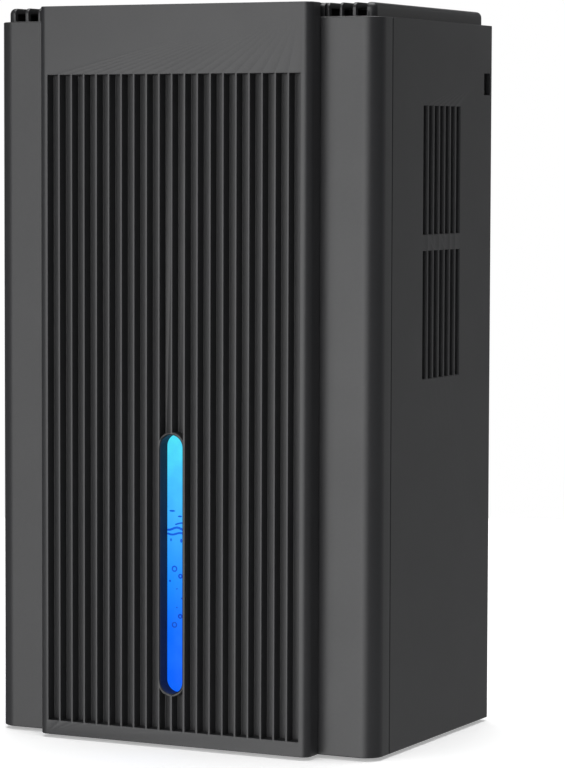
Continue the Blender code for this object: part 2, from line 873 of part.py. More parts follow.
def make_control_plate():
    half = CONTROL_HALF - GAP
    plate = box(
        "control_plate",
        (-half, half),
        (CONTROL_DEPTHS[0] + GAP, CONTROL_DEPTHS[1] - GAP),
        (PANEL_HEIGHT - CONTROL_SINK + GAP, PANEL_HEIGHT - GAP),
    )
    round_edges(plate, CONTROL_CORNER - GAP, 4, all_upright)
    for x in BUTTON_X.values():
        centre = (x, depth(BUTTON_DEPTH), level(PANEL_HEIGHT))
        cut(plate, cylinder("button_hole", BUTTON_RADIUS + GAP, REACH * 2, centre, "Z", 32))
    return finish(plate, BLACK, 0.15)


def make_control_board():
    board = box(
        "control_board",
        (-CONTROL_BOARD_HALF, CONTROL_BOARD_HALF),
        CONTROL_BOARD_DEPTHS,
        CONTROL_BOARD_LEVELS,
    )
    plunger_low = SWITCH_TOP - BITE
    for x in BUTTON_X.values():
        body = box(
            "switch_body",
            (x - SWITCH_HALF, x + SWITCH_HALF),
            (BUTTON_DEPTH - SWITCH_HALF, BUTTON_DEPTH + SWITCH_HALF),
            (CONTROL_BOARD_LEVELS[1] - BITE, SWITCH_TOP),
        )
        centre = (x, depth(BUTTON_DEPTH), level((plunger_low + PLUNGER_TOP) / 2))
        length = PLUNGER_TOP - plunger_low
        join(board, body, cylinder("switch_plunger", PLUNGER_RADIUS, length, centre, "Z", 12))
    return finish(board, BOARD_GREEN, 0.5)


def make_buttons():
    top = -BUTTON_SINK
    flange_top = -CONTROL_SINK
    flange_low = flange_top - BUTTON_FLANGE_THICKNESS
    profile = (
        (0.0, top),
        (BUTTON_RADIUS - BUTTON_EDGE, top),
        (BUTTON_RADIUS, top - BUTTON_EDGE),
        (BUTTON_RADIUS, flange_top),
        (BUTTON_FLANGE, flange_top),
        (BUTTON_FLANGE, flange_low),
        (0.0, flange_low),
    )
    for name, x in BUTTON_X.items():
        place_at = (x, depth(BUTTON_DEPTH), level(PANEL_HEIGHT))
        finish(turned(name, profile, place_at, steps=24), GREY_INNER, 0.35, smooth=True)


def make_partition():
    levels = (SHELF_HIGH + GAP, PARTITION_TOP)
    wall = box("partition", (-FIT_SIDE, FIT_SIDE), PARTITION_DEPTHS, levels)
    low = PARTITION_DEPTHS[0] - REACH
    high = PARTITION_DEPTHS[1] + REACH
    half = GASKET_HALF + GAP
    window = box(
        "gasket_window", (-half, half), (low, high), (STACK_LEVEL - half, STACK_LEVEL + half)
    )
    cut(wall, window, lead_slot("partition_lead_slot"))
    for side in SIDES.values():
        passage = box("air_passage", side_span(side, *PASSAGE_X), (low, high), PASSAGE_LEVELS)
        cut(wall, passage)
        centre = (0.0, depth(sum(PARTITION_DEPTHS) / 2), level(STACK_LEVEL + side * CLAMP_OFFSET))
        cut(wall, cylinder("clamp_hole", SCREW_HOLE, CLAMP_BORE_LENGTH, centre, "Y", 12))
    return finish(wall, GREY_INNER, 0.55)


def lead_slot(name):
    """The way the cell's lead takes sideways out of the stack."""
    return box(
        name,
        (-LEAD_EXIT, -CELL_HALF),
        (CELL_DEPTHS[0] - REACH, CELL_DEPTHS[1] + REACH),
        (STACK_LEVEL - LEAD_SLOT, STACK_LEVEL + LEAD_SLOT),
    )


def make_gasket():
    gasket = box(
        "cell_gasket",
        (-GASKET_HALF, GASKET_HALF),
        CELL_DEPTHS,
        (STACK_LEVEL - GASKET_HALF, STACK_LEVEL + GASKET_HALF),
    )
    half = CELL_HALF + GAP
    hole = box(
        "cell_hole",
        (-half, half),
        (CELL_DEPTHS[0] - REACH, CELL_DEPTHS[1] + REACH),
        (STACK_LEVEL - half, STACK_LEVEL + half),
    )
    cut(gasket, hole, lead_slot("gasket_lead_slot"))
    return finish(gasket, FOAM, 0.9)


def make_cell():
    levels = (STACK_LEVEL - CELL_HALF, STACK_LEVEL + CELL_HALF)
    cell = box("peltier_cell", (-CELL_HALF, CELL_HALF), CELL_DEPTHS, levels)
    round_edges(cell, CELL_EDGE, 1, every_edge)
    return finish(cell, CERAMIC, 0.45)


def make_cold_sink():
    levels = (STACK_LEVEL - COLD_HALF_Z, STACK_LEVEL + COLD_HALF_Z)
    sink = box("cold_heatsink", (-COLD_HALF_X, COLD_HALF_X), COLD_DEPTHS[1:], levels)
    first = -COLD_PITCH * (COLD_FINS - 1) / 2
    fin = box(
        "cold_fin",
        (first - COLD_FIN / 2, first + COLD_FIN / 2),
        (COLD_DEPTHS[0], COLD_DEPTHS[1] + BITE),
        levels,
    )
    join(sink, repeat(fin, COLD_FINS, (COLD_PITCH, 0.0, 0.0)))
    for side in SIDES.values():
        centre = (0.0, depth(COLD_DEPTHS[1]), level(STACK_LEVEL + side * CLAMP_OFFSET))
        cut(sink, cylinder("cold_clamp_hole", SCREW_HOLE, CLAMP_BORE_LENGTH, centre, "Y", 12))
    return finish(sink, ALUMINIUM, 0.35, 1.0)


def make_hot_sink():
    levels = (STACK_LEVEL - HOT_HALF, STACK_LEVEL + HOT_HALF)
    sink = box("hot_heatsink", (-HOT_HALF, HOT_HALF), HOT_DEPTHS[:2], levels)
    first = STACK_LEVEL - HOT_PITCH * (HOT_FINS - 1) / 2
    fin = box(
        "hot_fin",
        (-HOT_HALF, HOT_HALF),
        (HOT_DEPTHS[1] - BITE, HOT_DEPTHS[2]),
        (first - HOT_FIN / 2, first + HOT_FIN / 2),
    )
    join(sink, repeat(fin, HOT_FINS, (0.0, 0.0, HOT_PITCH)))
    for side in SIDES.values():
        centre = (0.0, depth(HOT_DEPTHS[0]), level(STACK_LEVEL + side * CLAMP_OFFSET))
        cut(sink, cylinder("hot_clamp_hole", SCREW_HOLE, HOT_BORE_LENGTH, centre, "Y", 12))
    return finish(sink, ALUMINIUM, 0.35, 1.0)


def make_clamp_screws():
    for word, side in (("low", -1), ("high", 1)):
        seat = (0.0, depth(COLD_DEPTHS[1] - GAP), level(STACK_LEVEL + side * CLAMP_OFFSET))
        make_screw(
            "clamp_screw_" + word,
            seat,
            FACING_FRONT,
            CLAMP_HEAD_RADIUS,
            CLAMP_HEAD_HEIGHT,
            CLAMP_LENGTH,
        )


def make_fan_frame():
    levels = (STACK_LEVEL - FAN_HALF, STACK_LEVEL + FAN_HALF)
    frame = box("fan_frame", (-FAN_HALF, FAN_HALF), FAN_DEPTHS, levels)
    round_edges(frame, FAN_CORNER, 3, front_to_back)
    middle = Vector((0.0, depth(sum(FAN_DEPTHS) / 2), level(STACK_LEVEL)))
    cut(frame, cylinder("fan_bore", FAN_BORE, FAN_CUT, middle, "Y", 48))
    strut_depths = (FAN_DEPTHS[1] - FAN_STRUT_THICKNESS, FAN_DEPTHS[1])
    reach = FAN_BORE + BITE * 2
    centre = (0.0, depth(sum(strut_depths) / 2), level(STACK_LEVEL))
    across = box(
        "fan_strut_across",
        (-reach, reach),
        strut_depths,
        (STACK_LEVEL - FAN_STRUT_HALF, STACK_LEVEL + FAN_STRUT_HALF),
    )
    along = box(
        "fan_strut_upright",
        (-FAN_STRUT_HALF, FAN_STRUT_HALF),
        strut_depths,
        (STACK_LEVEL - reach, STACK_LEVEL + reach),
    )
    hub = cylinder("fan_motor_seat", HUB_RADIUS, FAN_STRUT_THICKNESS, centre, "Y", 32)
    join(hub, across, along)
    join(frame, hub)
    cut(frame, cylinder("bearing_hole", BEARING_RADIUS, FAN_CUT / 2, centre, "Y", 16))
    for x in (-FAN_SCREW_OFFSET, FAN_SCREW_OFFSET):
        for z in (-FAN_SCREW_OFFSET, FAN_SCREW_OFFSET):
            spot = (x, middle.y, middle.z + z)
            cut(frame, cylinder("fan_screw_hole", FAN_SCREW_HOLE, FAN_CUT, spot, "Y", 12))
    return finish(frame, BLACK, 0.5)


def make_fan_rotor():
    """Hub and swept-flat blades, with the origin on the spindle."""
    axis_point = Vector((0.0, depth(sum(HUB_DEPTHS) / 2), level(STACK_LEVEL)))
    hub_length = HUB_DEPTHS[1] - HUB_DEPTHS[0]
    rotor = cylinder("fan_rotor", HUB_RADIUS, hub_length, axis_point, "Y", 32)
    blades = make_blades(axis_point)
    spindle_centre = axis_point + Vector((0.0, hub_length / 2 + SPINDLE_LENGTH / 4, 0.0))
    spindle = cylinder("fan_spindle", SCREW_RADIUS, SPINDLE_LENGTH, spindle_centre, "Y", 12)
    join(rotor, blades, spindle)
    return finish(rotor, BLACK, 0.45, smooth=True)


def make_blades(axis_point):
    inner = HUB_RADIUS - 0.0030
    length = BLADE_TIP - inner
    bm = bmesh.new()
    for number in range(BLADE_COUNT):
        around = Matrix.Rotation(math.tau * number / BLADE_COUNT, 4, "Y")
        outward = Matrix.Translation((inner + length / 2, 0.0, 0.0))
        pitch = Matrix.Rotation(BLADE_PITCH, 4, "X")
        size = Matrix.Diagonal((length, BLADE_THICKNESS, BLADE_CHORD, 1.0))
        bmesh.ops.create_cube(bm, size=1.0, matrix=around @ outward @ pitch @ size)
    mesh = bpy.data.meshes.new("fan_blades")
    bm.to_mesh(mesh)
    bm.free()
    return place("fan_blades", mesh, axis_point)


def make_fan_screws():
    for row, z in (("low", -FAN_SCREW_OFFSET), ("high", FAN_SCREW_OFFSET)):
        for word, side in SIDES.items():
            x = side * FAN_SCREW_OFFSET
            seat = (x, depth(FAN_DEPTHS[1] + GAP), level(STACK_LEVEL + z))
            name = f"fan_screw_{row}_{word}"
            make_screw(name, seat, FACING_BACK, HEAD_RADIUS, FAN_SCREW_HEIGHT, FAN_SCREW_LENGTH)


def make_drip_tray():
    tray = box("drip_tray", (-TRAY_HALF, TRAY_HALF), TRAY_DEPTHS, (SHELF_HIGH + GAP, TRAY_TOP))
    round_edges(tray, TRAY_CORNER, 3, all_upright)
    spout_top = SHELF_HIGH + SPOUT_ROOT
    centre = (0.0, depth(SPOUT_DEPTH), level((SPOUT_LOW + spout_top) / 2))
    spout = cylinder("tray_spout", SPOUT_RADIUS, spout_top - SPOUT_LOW, centre, "Z", 20)
    basin = box(
        "tray_basin",
        (-TRAY_HALF + TRAY_WALL, TRAY_HALF - TRAY_WALL),
        (TRAY_DEPTHS[0] + TRAY_WALL, TRAY_DEPTHS[1] - TRAY_WALL),
        (SHELF_HIGH + GAP + TRAY_FLOOR, TRAY_TOP + REACH),
    )
    round_edges(basin, BASIN_CORNER, 3, all_upright)
    join(tray, spout)
    bore = cylinder("spout_bore", SPOUT_RADIUS - TRAY_WALL, SPOUT_BORE, centre, "Z", 20)
    cut(tray, basin, bore)
    return finish(tray, GREY_INNER, 0.5)


def make_rear_cover():
    cover = box(
        "rear_cover",
        (-FIT_SIDE, FIT_SIDE),
        COVER_PLATE_DEPTHS,
        (SHELF_HIGH + GAP, BODY_HEIGHT - GAP),
    )
    cut(cover, make_grille_slots())
    jack = (JACK_X, depth(COVER_PLATE_DEPTHS[1]), level(JACK_LEVEL))
    cut(cover, cylinder("jack_hole", JACK_RADIUS + GAP, REACH * 2, jack, "Y", 24))
    for side in SIDES.values():
        for middle in REAR_BOSS_LEVELS:
            centre = (side * BOSS_X, depth(COVER_PLATE_DEPTHS[1]), level(middle))
            cut(cover, cylinder("rear_screw_hole", SCREW_HOLE, REACH * 3, centre, "Y", 12))
            cut(cover, cylinder("rear_head_hole", HEAD_HOLE, HEAD_SINK * 2, centre, "Y", 16))
        tongue = box(
            "snap_tongue",
            side_span(side, SNAP_TONGUE_X - TONGUE_THICKNESS, SNAP_TONGUE_X),
            (SNAP_DEPTHS[0] - TONGUE_LEAD, COVER_PLATE_DEPTHS[0] + BITE),
            (SNAP_LEVELS[0] - TONGUE_REACH, SNAP_LEVELS[1] + TONGUE_REACH),
        )
        barb = box(
            "snap_barb",
            side_span(side, SNAP_TONGUE_X - BITE, INNER_SIDE + BARB_RISE),
            (SNAP_DEPTHS[0] + BARB_INSET, SNAP_DEPTHS[1] - BARB_INSET),
            (SNAP_LEVELS[0] + BARB_RISE, SNAP_LEVELS[0] + BARB_RISE + BARB_HEIGHT),
        )
        join(cover, tongue, barb)
    return finish(cover, CHARCOAL, 0.5)


def make_grille_slots():
    """Level slots filling a circle in front of the fan's intake, as one set of cutters."""
    bm = bmesh.new()
    rows = int(GRILLE_RADIUS / GRILLE_PITCH)
    for row in range(-rows, rows + 1):
        height = row * GRILLE_PITCH
        half = math.sqrt(GRILLE_RADIUS ** 2 - height ** 2)
        size = Matrix.Diagonal((half * 2, REACH * 2, GRILLE_SLOT, 1.0))
        bmesh.ops.create_cube(bm, size=1.0, matrix=Matrix.Translation((0.0, 0.0, height)) @ size)
    mesh = bpy.data.meshes.new("grille_slots")
    bm.to_mesh(mesh)
    bm.free()
    centre = (0.0, depth(sum(COVER_PLATE_DEPTHS) / 2), level(STACK_LEVEL))
    return place("grille_slots", mesh, centre)


def make_dc_jack():
    jack = box(
        "dc_jack",
        (JACK_X - JACK_HALF, JACK_X + JACK_HALF),
        (JACK_FRONT, COVER_PLATE_DEPTHS[0] - GAP),
        (JACK_LEVEL - JACK_HALF, JACK_LEVEL + JACK_HALF),
    )
    barrel_back = COVER_PLATE_DEPTHS[1] - GAP
    barrel = jack_cylinder("jack_barrel", JACK_RADIUS, (barrel_back - JACK_BARREL, barrel_back))
    join(jack, barrel)
    cut(jack, jack_cylinder("jack_bore", JACK_BORE, JACK_BORE_DEPTHS))
    join(jack, jack_cylinder("jack_pin", JACK_PIN, JACK_PIN_DEPTHS))
    return finish(jack, BLACK, 0.4)


def jack_cylinder(name, radius, depths):
    centre = (JACK_X, depth(sum(depths) / 2), level(JACK_LEVEL))
    return cylinder(name, radius, depths[1] - depths[0], centre, "Y")


def make_reed_switch():
    switch = box("reed_switch", REED_X, REED_DEPTHS, (REED_LOW, SHELF_LOW - GAP))
    round_edges(switch, REED_CORNER, 2, all_upright)
    return finish(switch, GLASS, 0.4)


def grip_block(name, margin, top):
    """The space the rear grip takes out of the tank and its lid."""
    return box(
        name,
        (-GRIP_HALF - GRIP_WALL - margin, GRIP_HALF + GRIP_WALL + margin),
        (GRIP_DEPTH - GRIP_WALL - margin, TANK_DEPTHS[1] + REACH * 2),
        (GRIP_LEVELS[0] - GRIP_WALL - margin, top),
    )


def make_water_tank():
    tank = box("water_tank", (-TANK_HALF, TANK_HALF), TANK_DEPTHS, (TANK_LOW, TANK_TOP))
    round_edges(tank, TANK_CORNER, 4, all_upright)
    cut(tank, grip_block("tank_grip_space", GAP * 2, TANK_TOP + REACH))
    inner_half = TANK_HALF - TANK_WALL
    cavity = box(
        "tank_cavity",
        (-inner_half, inner_half),
        (TANK_DEPTHS[0] + TANK_WALL, TANK_DEPTHS[1] - TANK_WALL),
        (TANK_LOW + TANK_WALL, TANK_TOP + REACH),
    )
    round_edges(cavity, TANK_CORNER - TANK_WALL, 4, all_upright)
    cut(cavity, grip_block("cavity_grip_space", GAP * 2 + TANK_WALL, TANK_TOP + REACH * 2))
    cut(tank, cavity)
    return finish(tank, SMOKE, 0.2, alpha=0.55)


def make_tank_lid():
    lid = box("tank_lid", (-TANK_HALF, TANK_HALF), TANK_DEPTHS, (TANK_TOP + GAP, LID_TOP))
    round_edges(lid, TANK_CORNER, 4, all_upright)
    cut(lid, grip_block("lid_grip_space", GAP * 2, LID_TOP + REACH))
    join(lid, make_lid_skirt())
    drip = box(
        "lid_drip_opening",
        (-DRIP_HALF, DRIP_HALF),
        DRIP_DEPTHS,
        (TANK_TOP - REACH, LID_TOP + REACH),
    )
    round_edges(drip, DRIP_CORNER, 4, all_upright)
    cut(lid, drip)
    add_float_ears(lid)
    return finish(lid, GREY_INNER, 0.4)


def make_lid_skirt():
    """The rim under the lid that drops inside the tank's walls."""
    half = TANK_HALF - TANK_WALL - GAP
    front = TANK_DEPTHS[0] + TANK_WALL + GAP
    back = TANK_DEPTHS[1] - TANK_WALL - GAP
    levels = (TANK_TOP - SKIRT_DROP, TANK_TOP + GAP + BITE)
    skirt = box("lid_skirt", (-half, half), (front, back), levels)
    round_edges(skirt, TANK_CORNER - TANK_WALL, 4, all_upright)
    bare = box(
        "lid_skirt_hollow",
        (-half + SKIRT_WALL, half - SKIRT_WALL),
        (front + SKIRT_WALL, back - SKIRT_WALL),
        (TANK_TOP - REACH * 2, TANK_TOP + GAP),
    )
    grip_margin = GAP * 3 + TANK_WALL
    grip_top = TANK_TOP + REACH * 2
    cut(bare, grip_block("bare_grip_space", grip_margin + SKIRT_WALL, grip_top))
    return cut(skirt, grip_block("skirt_grip_space", grip_margin, grip_top), bare)


def add_float_ears(lid):
    for side in SIDES.values():
        near, far = side_span(side, *EAR_X)
        ear = box(
            "float_ear",
            (FLOAT_X + near, FLOAT_X + far),
            (FLOAT_DEPTH - EAR_HALF, FLOAT_DEPTH + EAR_HALF),
            (FLOAT_LEVEL - EAR_HALF, TANK_TOP + GAP + BITE),
        )
        join(lid, ear)
    pivot = (FLOAT_X, depth(FLOAT_DEPTH), level(FLOAT_LEVEL))
    cut(lid, cylinder("float_ear_hole", SCREW_HOLE, PIN_LENGTH * 2, pivot, "X", 16))


def make_tank_door():
    door = box("tank_door", (-DOOR_HALF, DOOR_HALF), DOOR_DEPTHS, DOOR_LEVELS)
    back = depth(DOOR_DEPTHS[1]) - NOTHING
    round_edges(door, DOOR_EDGE, 2, lambda middle, direction: middle.y > back)
    pan = box(
        "door_pan",
        (-DOOR_HALF + DOOR_BORDER, DOOR_HALF - DOOR_BORDER),
        (DOOR_DEPTHS[0] - REACH, DOOR_DEPTHS[1] - WALL),
        (DOOR_LEVELS[0] + DOOR_BORDER, DOOR_LEVELS[1] - DOOR_BORDER),
    )
    cup = box(
        "grip_cup",
        (-GRIP_HALF - GRIP_WALL, GRIP_HALF + GRIP_WALL),
        (GRIP_DEPTH - GRIP_WALL, DOOR_DEPTHS[1] - BITE),
        (GRIP_LEVELS[0] - GRIP_WALL, GRIP_LEVELS[1] + GRIP_WALL),
    )
    cut(door, pan)
    join(door, cup)
    grip = (-GRIP_HALF, GRIP_HALF)
    inside = box("grip_inside", grip, (GRIP_DEPTH, DOOR_DEPTHS[1] - WALL), GRIP_LEVELS)
    mouth = box(
        "grip_mouth",
        grip,
        (GRIP_DEPTH + BITE, DOOR_DEPTHS[1] + REACH),
        (GRIP_LEVELS[0] + BITE, GRIP_MOUTH),
    )
    cut(door, inside, mouth)
    return finish(door, CHARCOAL, 0.45)


def make_float():
    """Float block on an arm that hangs from the lid, with the origin on its pivot."""
    pivot = Vector((FLOAT_X, depth(FLOAT_DEPTH), level(FLOAT_LEVEL)))
    tank_float = drooping(slab(
        "tank_float",
        (-FLOAT_HALF_X, FLOAT_ARM - FLOAT_HALF_Y, FLOAT_HEIGHTS[0]),
        (FLOAT_HALF_X, FLOAT_ARM + FLOAT_HALF_Y, FLOAT_HEIGHTS[1]),
    ), pivot)
    arm = drooping(slab(
        "float_arm",
        (-ARM_HALF_X, -ARM_BACK, -ARM_HALF_Z),
        (ARM_HALF_X, FLOAT_ARM - FLOAT_HALF_Y + BITE * 2, ARM_HALF_Z),
    ), pivot)
    pin = cylinder("float_pin", SCREW_RADIUS, PIN_LENGTH, pivot, "X", 16)
    join(tank_float, arm, pin)
    pocket = float_disc("magnet_pocket", MAGNET_RADIUS + GAP, MAGNET_POCKET, FLOAT_HEIGHTS[1], pivot)
    cut(tank_float, pocket)
    finish(tank_float, CERAMIC, 0.7)
    magnet = float_disc("float_magnet", MAGNET_RADIUS, MAGNET_THICKNESS, MAGNET_HEIGHT, pivot)
    finish(magnet, STEEL, 0.3, 1.0, smooth=True)
    return tank_float, magnet


def drooping(item, pivot):
    """Hang an item from the float's pivot."""
    item.location = pivot
    item.rotation_euler = (-FLOAT_DROOP, 0.0, 0.0)
    return item


def float_disc(name, radius, thickness, height, pivot):
    """A disc square to the float's top face, at a height over its arm."""
    offset = Matrix.Rotation(-FLOAT_DROOP, 4, "X") @ Vector((0.0, FLOAT_ARM, height))
    disc = cylinder(name, radius, thickness, pivot + offset, "Z", 20)
    disc.rotation_euler = (-FLOAT_DROOP, 0.0, 0.0)
    return disc


def slab(name, low, high):
    """A box about a local origin, between two local corners."""
    low = Vector(low)
    high = Vector(high)
    size = high - low
    shift = Matrix.Translation((low + high) / 2)
    bm = bmesh.new()
    scale = Matrix.Diagonal((size.x, size.y, size.z, 1.0))
    bmesh.ops.create_cube(bm, size=1.0, matrix=shift @ scale)
    mesh = bpy.data.meshes.new(name)
    bm.to_mesh(mesh)
    bm.free()
    return place(name, mesh, (0.0, 0.0, 0.0))


def make_tank_group():
    """The tank, its lid, door and float slide out together along +Y."""
    slide = joint_empty("tank_slide", (0.0, depth(DOOR_DEPTHS[1]), level(TANK_LOW)))
    float_pivot = joint_empty(
        "float_pivot", (FLOAT_X, depth(FLOAT_DEPTH), level(FLOAT_LEVEL))
    )
    for piece in (make_water_tank(), make_tank_lid(), make_tank_door(), float_pivot):
        attach(piece, slide)
    for piece in make_float():
        attach(piece, float_pivot)


def make_leads():
    """Internal leads, each laid along hand-placed points from its part to the control board."""
    fan = (
        (0.0473, 0.1100, 0.2620), (0.0520, 0.1100, 0.2640), (0.0530, 0.1060, 0.2800),
        (0.0470, 0.0900, 0.3000), (0.0340, 0.0740, 0.3120), (0.0225, 0.0620, 0.3160),
        (0.0220, 0.0580, 0.3185), (0.0220, 0.0575, 0.3216),
    )
    power = (
        (0.0700, 0.1184, 0.1720), (0.0700, 0.1130, 0.1735), (0.0690, 0.1070, 0.1900),
        (0.0680, 0.1040, 0.2400), (0.0670, 0.0980, 0.2850), (0.0600, 0.0820, 0.3060),
        (0.0440, 0.0680, 0.3135), (0.0345, 0.0585, 0.3170), (0.0340, 0.0575, 0.3216),
    )
    cell = (
        (-0.0206, 0.0511, STACK_LEVEL), (-0.0330, 0.0511, STACK_LEVEL),
        (-0.0440, 0.0512, STACK_LEVEL), (-0.0480, 0.0545, STACK_LEVEL + 0.001),
        (-0.0500, 0.0590, 0.2450), (-0.0500, 0.0600, 0.2900), (-0.0420, 0.0600, 0.3100),
        (-0.0310, 0.0590, 0.3160), (-0.0300, 0.0580, 0.3185), (-0.0300, 0.0575, 0.3216),
    )
    light = (
        (0.0, 0.0145, 0.1456), (0.0, 0.0160, 0.1530), (0.0, 0.0190, 0.1750),
        (0.0, 0.0190, 0.2600), (0.0030, 0.0200, 0.3000), (0.0080, 0.0300, 0.3120),
        (0.0100, 0.0440, 0.3160), (0.0100, 0.0470, 0.3185), (0.0100, 0.0475, 0.3216),
    )
    routes = {"fan_lead": fan, "power_lead": power, "cell_lead": cell, "light_lead": light}
    for name, route in routes.items():
        finish(tube(name, route, LEAD_RADIUS), RUBBER, 0.5, smooth=True)


make_front_panel()
make_window_lens()
make_light_board()
make_front_shell()
make_rear_housing()
make_base_plate()
make_feet()
make_base_screws()
make_rear_screws()
make_top_cover()
make_control_plate()
make_control_board()
make_buttons()
make_partition()
make_gasket()
make_cell()
make_cold_sink()
make_hot_sink()
make_clamp_screws()
make_fan_frame()
make_fan_rotor()
make_fan_screws()
make_drip_tray()
make_rear_cover()
make_dc_jack()
make_reed_switch()
make_tank_group()
make_leads()
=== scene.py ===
"""Looks for the thermoelectric dehumidifier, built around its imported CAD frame.

Units are metres, +Z is up and the ribbed front faces -Y. A depth is counted back from the face of
the front panel, and a level is counted up from the underside of the casing.
"""
import json
import math

import bmesh
import bpy
from mathutils import Matrix, Vector


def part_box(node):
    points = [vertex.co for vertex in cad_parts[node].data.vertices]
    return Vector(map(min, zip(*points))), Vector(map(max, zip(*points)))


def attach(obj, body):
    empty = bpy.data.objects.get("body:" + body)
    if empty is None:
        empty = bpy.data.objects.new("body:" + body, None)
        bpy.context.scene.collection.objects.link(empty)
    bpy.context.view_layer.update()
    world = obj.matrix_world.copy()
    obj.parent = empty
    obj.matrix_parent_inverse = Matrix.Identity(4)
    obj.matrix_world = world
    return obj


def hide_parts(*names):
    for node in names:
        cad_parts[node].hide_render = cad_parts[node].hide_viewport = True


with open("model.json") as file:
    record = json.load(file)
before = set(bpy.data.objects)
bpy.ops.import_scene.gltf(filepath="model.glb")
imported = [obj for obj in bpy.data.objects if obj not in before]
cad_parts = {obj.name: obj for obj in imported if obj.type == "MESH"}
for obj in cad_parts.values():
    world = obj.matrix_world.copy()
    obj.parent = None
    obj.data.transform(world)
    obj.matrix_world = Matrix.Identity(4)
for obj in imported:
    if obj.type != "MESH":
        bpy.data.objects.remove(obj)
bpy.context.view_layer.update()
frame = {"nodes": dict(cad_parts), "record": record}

SCENE = bpy.context.scene
NODES = frame["nodes"]
BODY_OF = {n: b for b, members in frame["record"]["behaviour"]["bodies"].items() for n in members}
SLOT_OF = {row["node"]: row["material_slot"] for row in frame["record"]["subparts"]}

PANEL_LOW, PANEL_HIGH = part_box("front_panel")
FACE = PANEL_LOW.y
FLOOR = PANEL_LOW.z


def depth(value):
    return FACE + value


def level(value):
    return FLOOR + value


# ---------------------------------------------------------------- camera, lights and floor

CAMERA_AT = Vector((0.704871, -1.362432, 0.266327))
CAMERA_TURN = math.radians(26.681)
CAMERA_DIP = math.radians(3.875)
CAMERA_ROLL = math.radians(0.179)
LENS = 155.9
SHIFT = (0.0029, -0.0082)
SENSOR = 36.0
AIM_HEIGHT = 0.06
OVERHEAD_SIZE = (2.4, 2.4)
OVERHEAD_RADIANCE = 4.2
OVERHEAD_AT = (0.0, 0.2, 2.4)


def make_camera():
    right = Vector((math.cos(CAMERA_TURN), math.sin(CAMERA_TURN), 0.0))
    ahead = Vector((-math.sin(CAMERA_TURN), math.cos(CAMERA_TURN), 0.0))
    ahead = ahead * math.cos(CAMERA_DIP) - Vector((0.0, 0.0, 1.0)) * math.sin(CAMERA_DIP)
    up = right.cross(ahead)
    across = right * math.cos(CAMERA_ROLL) + up * math.sin(CAMERA_ROLL)
    upward = up * math.cos(CAMERA_ROLL) - right * math.sin(CAMERA_ROLL)
    data = bpy.data.cameras.new("camera")
    data.lens = LENS
    data.sensor_width = SENSOR
    data.shift_x, data.shift_y = SHIFT
    data.clip_start = 0.01
    data.clip_end = 100.0
    camera = bpy.data.objects.new("camera", data)
    turn = Matrix((across, upward, -ahead)).transposed().to_4x4()
    camera.matrix_world = Matrix.Translation(CAMERA_AT) @ turn
    SCENE.collection.objects.link(camera)
    SCENE.camera = camera


def soft_box(name, place, size, radiance):
    """A rectangular area light that faces down and is hidden from the camera."""
    data = bpy.data.lights.new(name, "AREA")
    data.shape = "RECTANGLE"
    data.size, data.size_y = size
    data.energy = radiance * math.pi * size[0] * size[1]
    light = bpy.data.objects.new(name, data)
    light.location = place
    light.visible_camera = False
    SCENE.collection.objects.link(light)
    return light


def aimed_box(name, bearing, distance, height, size, radiance):
    """A soft box aimed at the object; the bearing is measured from the front (-Y) towards +X."""
    angle = math.radians(bearing)
    place = Vector((math.sin(angle) * distance, -math.cos(angle) * distance, height))
    light = soft_box(name, place, size, radiance)
    look = Vector((0.0, 0.0, AIM_HEIGHT)) - place
    light.rotation_euler = look.to_track_quat("-Z", "Y").to_euler()


def make_lights():
    # Each box: name, bearing, distance, height, size and radiance
    boxes = (
        ("key", -13.0, 1.6, 0.06, (1.05, 1.7), 1.45),
        ("fill", -9.5, 1.7, 0.06, (2.30, 1.8), 1.48),
        ("back", 198.0, 1.7, 0.06, (1.40, 1.7), 0.85),
        ("low_right", 75.0, 1.5, -0.85, (2.40, 0.7), 0.45),
        ("low_back", 165.0, 1.5, -0.85, (2.40, 0.7), 0.70),
        ("low_left", 255.0, 1.5, -0.85, (2.40, 0.7), 0.70),
        ("rim", 150.0, 1.6, 0.06, (1.6, 1.7), 0.22),
    )
    for box in boxes:
        aimed_box(*box)
    soft_box("overhead", OVERHEAD_AT, OVERHEAD_SIZE, OVERHEAD_RADIANCE)


def make_world():
    """White to the camera, dim grey to everything else."""
    world = bpy.data.worlds.new("studio")
    world.use_nodes = True
    tree = world.node_tree
    tree.nodes.clear()
    path = tree.nodes.new("ShaderNodeLightPath")
    dim = tree.nodes.new("ShaderNodeBackground")
    dim.inputs["Color"].default_value = (0.06, 0.061, 0.063, 1.0)
    white = tree.nodes.new("ShaderNodeBackground")
    white.inputs["Color"].default_value = (1.0, 1.0, 1.0, 1.0)
    mix = tree.nodes.new("ShaderNodeMixShader")
    out = tree.nodes.new("ShaderNodeOutputWorld")
    tree.links.new(path.outputs["Is Camera Ray"], mix.inputs[0])
    tree.links.new(dim.outputs[0], mix.inputs[1])
    tree.links.new(white.outputs[0], mix.inputs[2])
    tree.links.new(mix.outputs[0], out.inputs[0])
    SCENE.world = world
    SCENE.view_settings.view_transform = "Standard"


# ---------------------------------------------------------------- materials


EDGE_REACH = 0.0007
GRAIN_HEIGHT = 0.00002
FLOW_HEIGHT = 0.000015


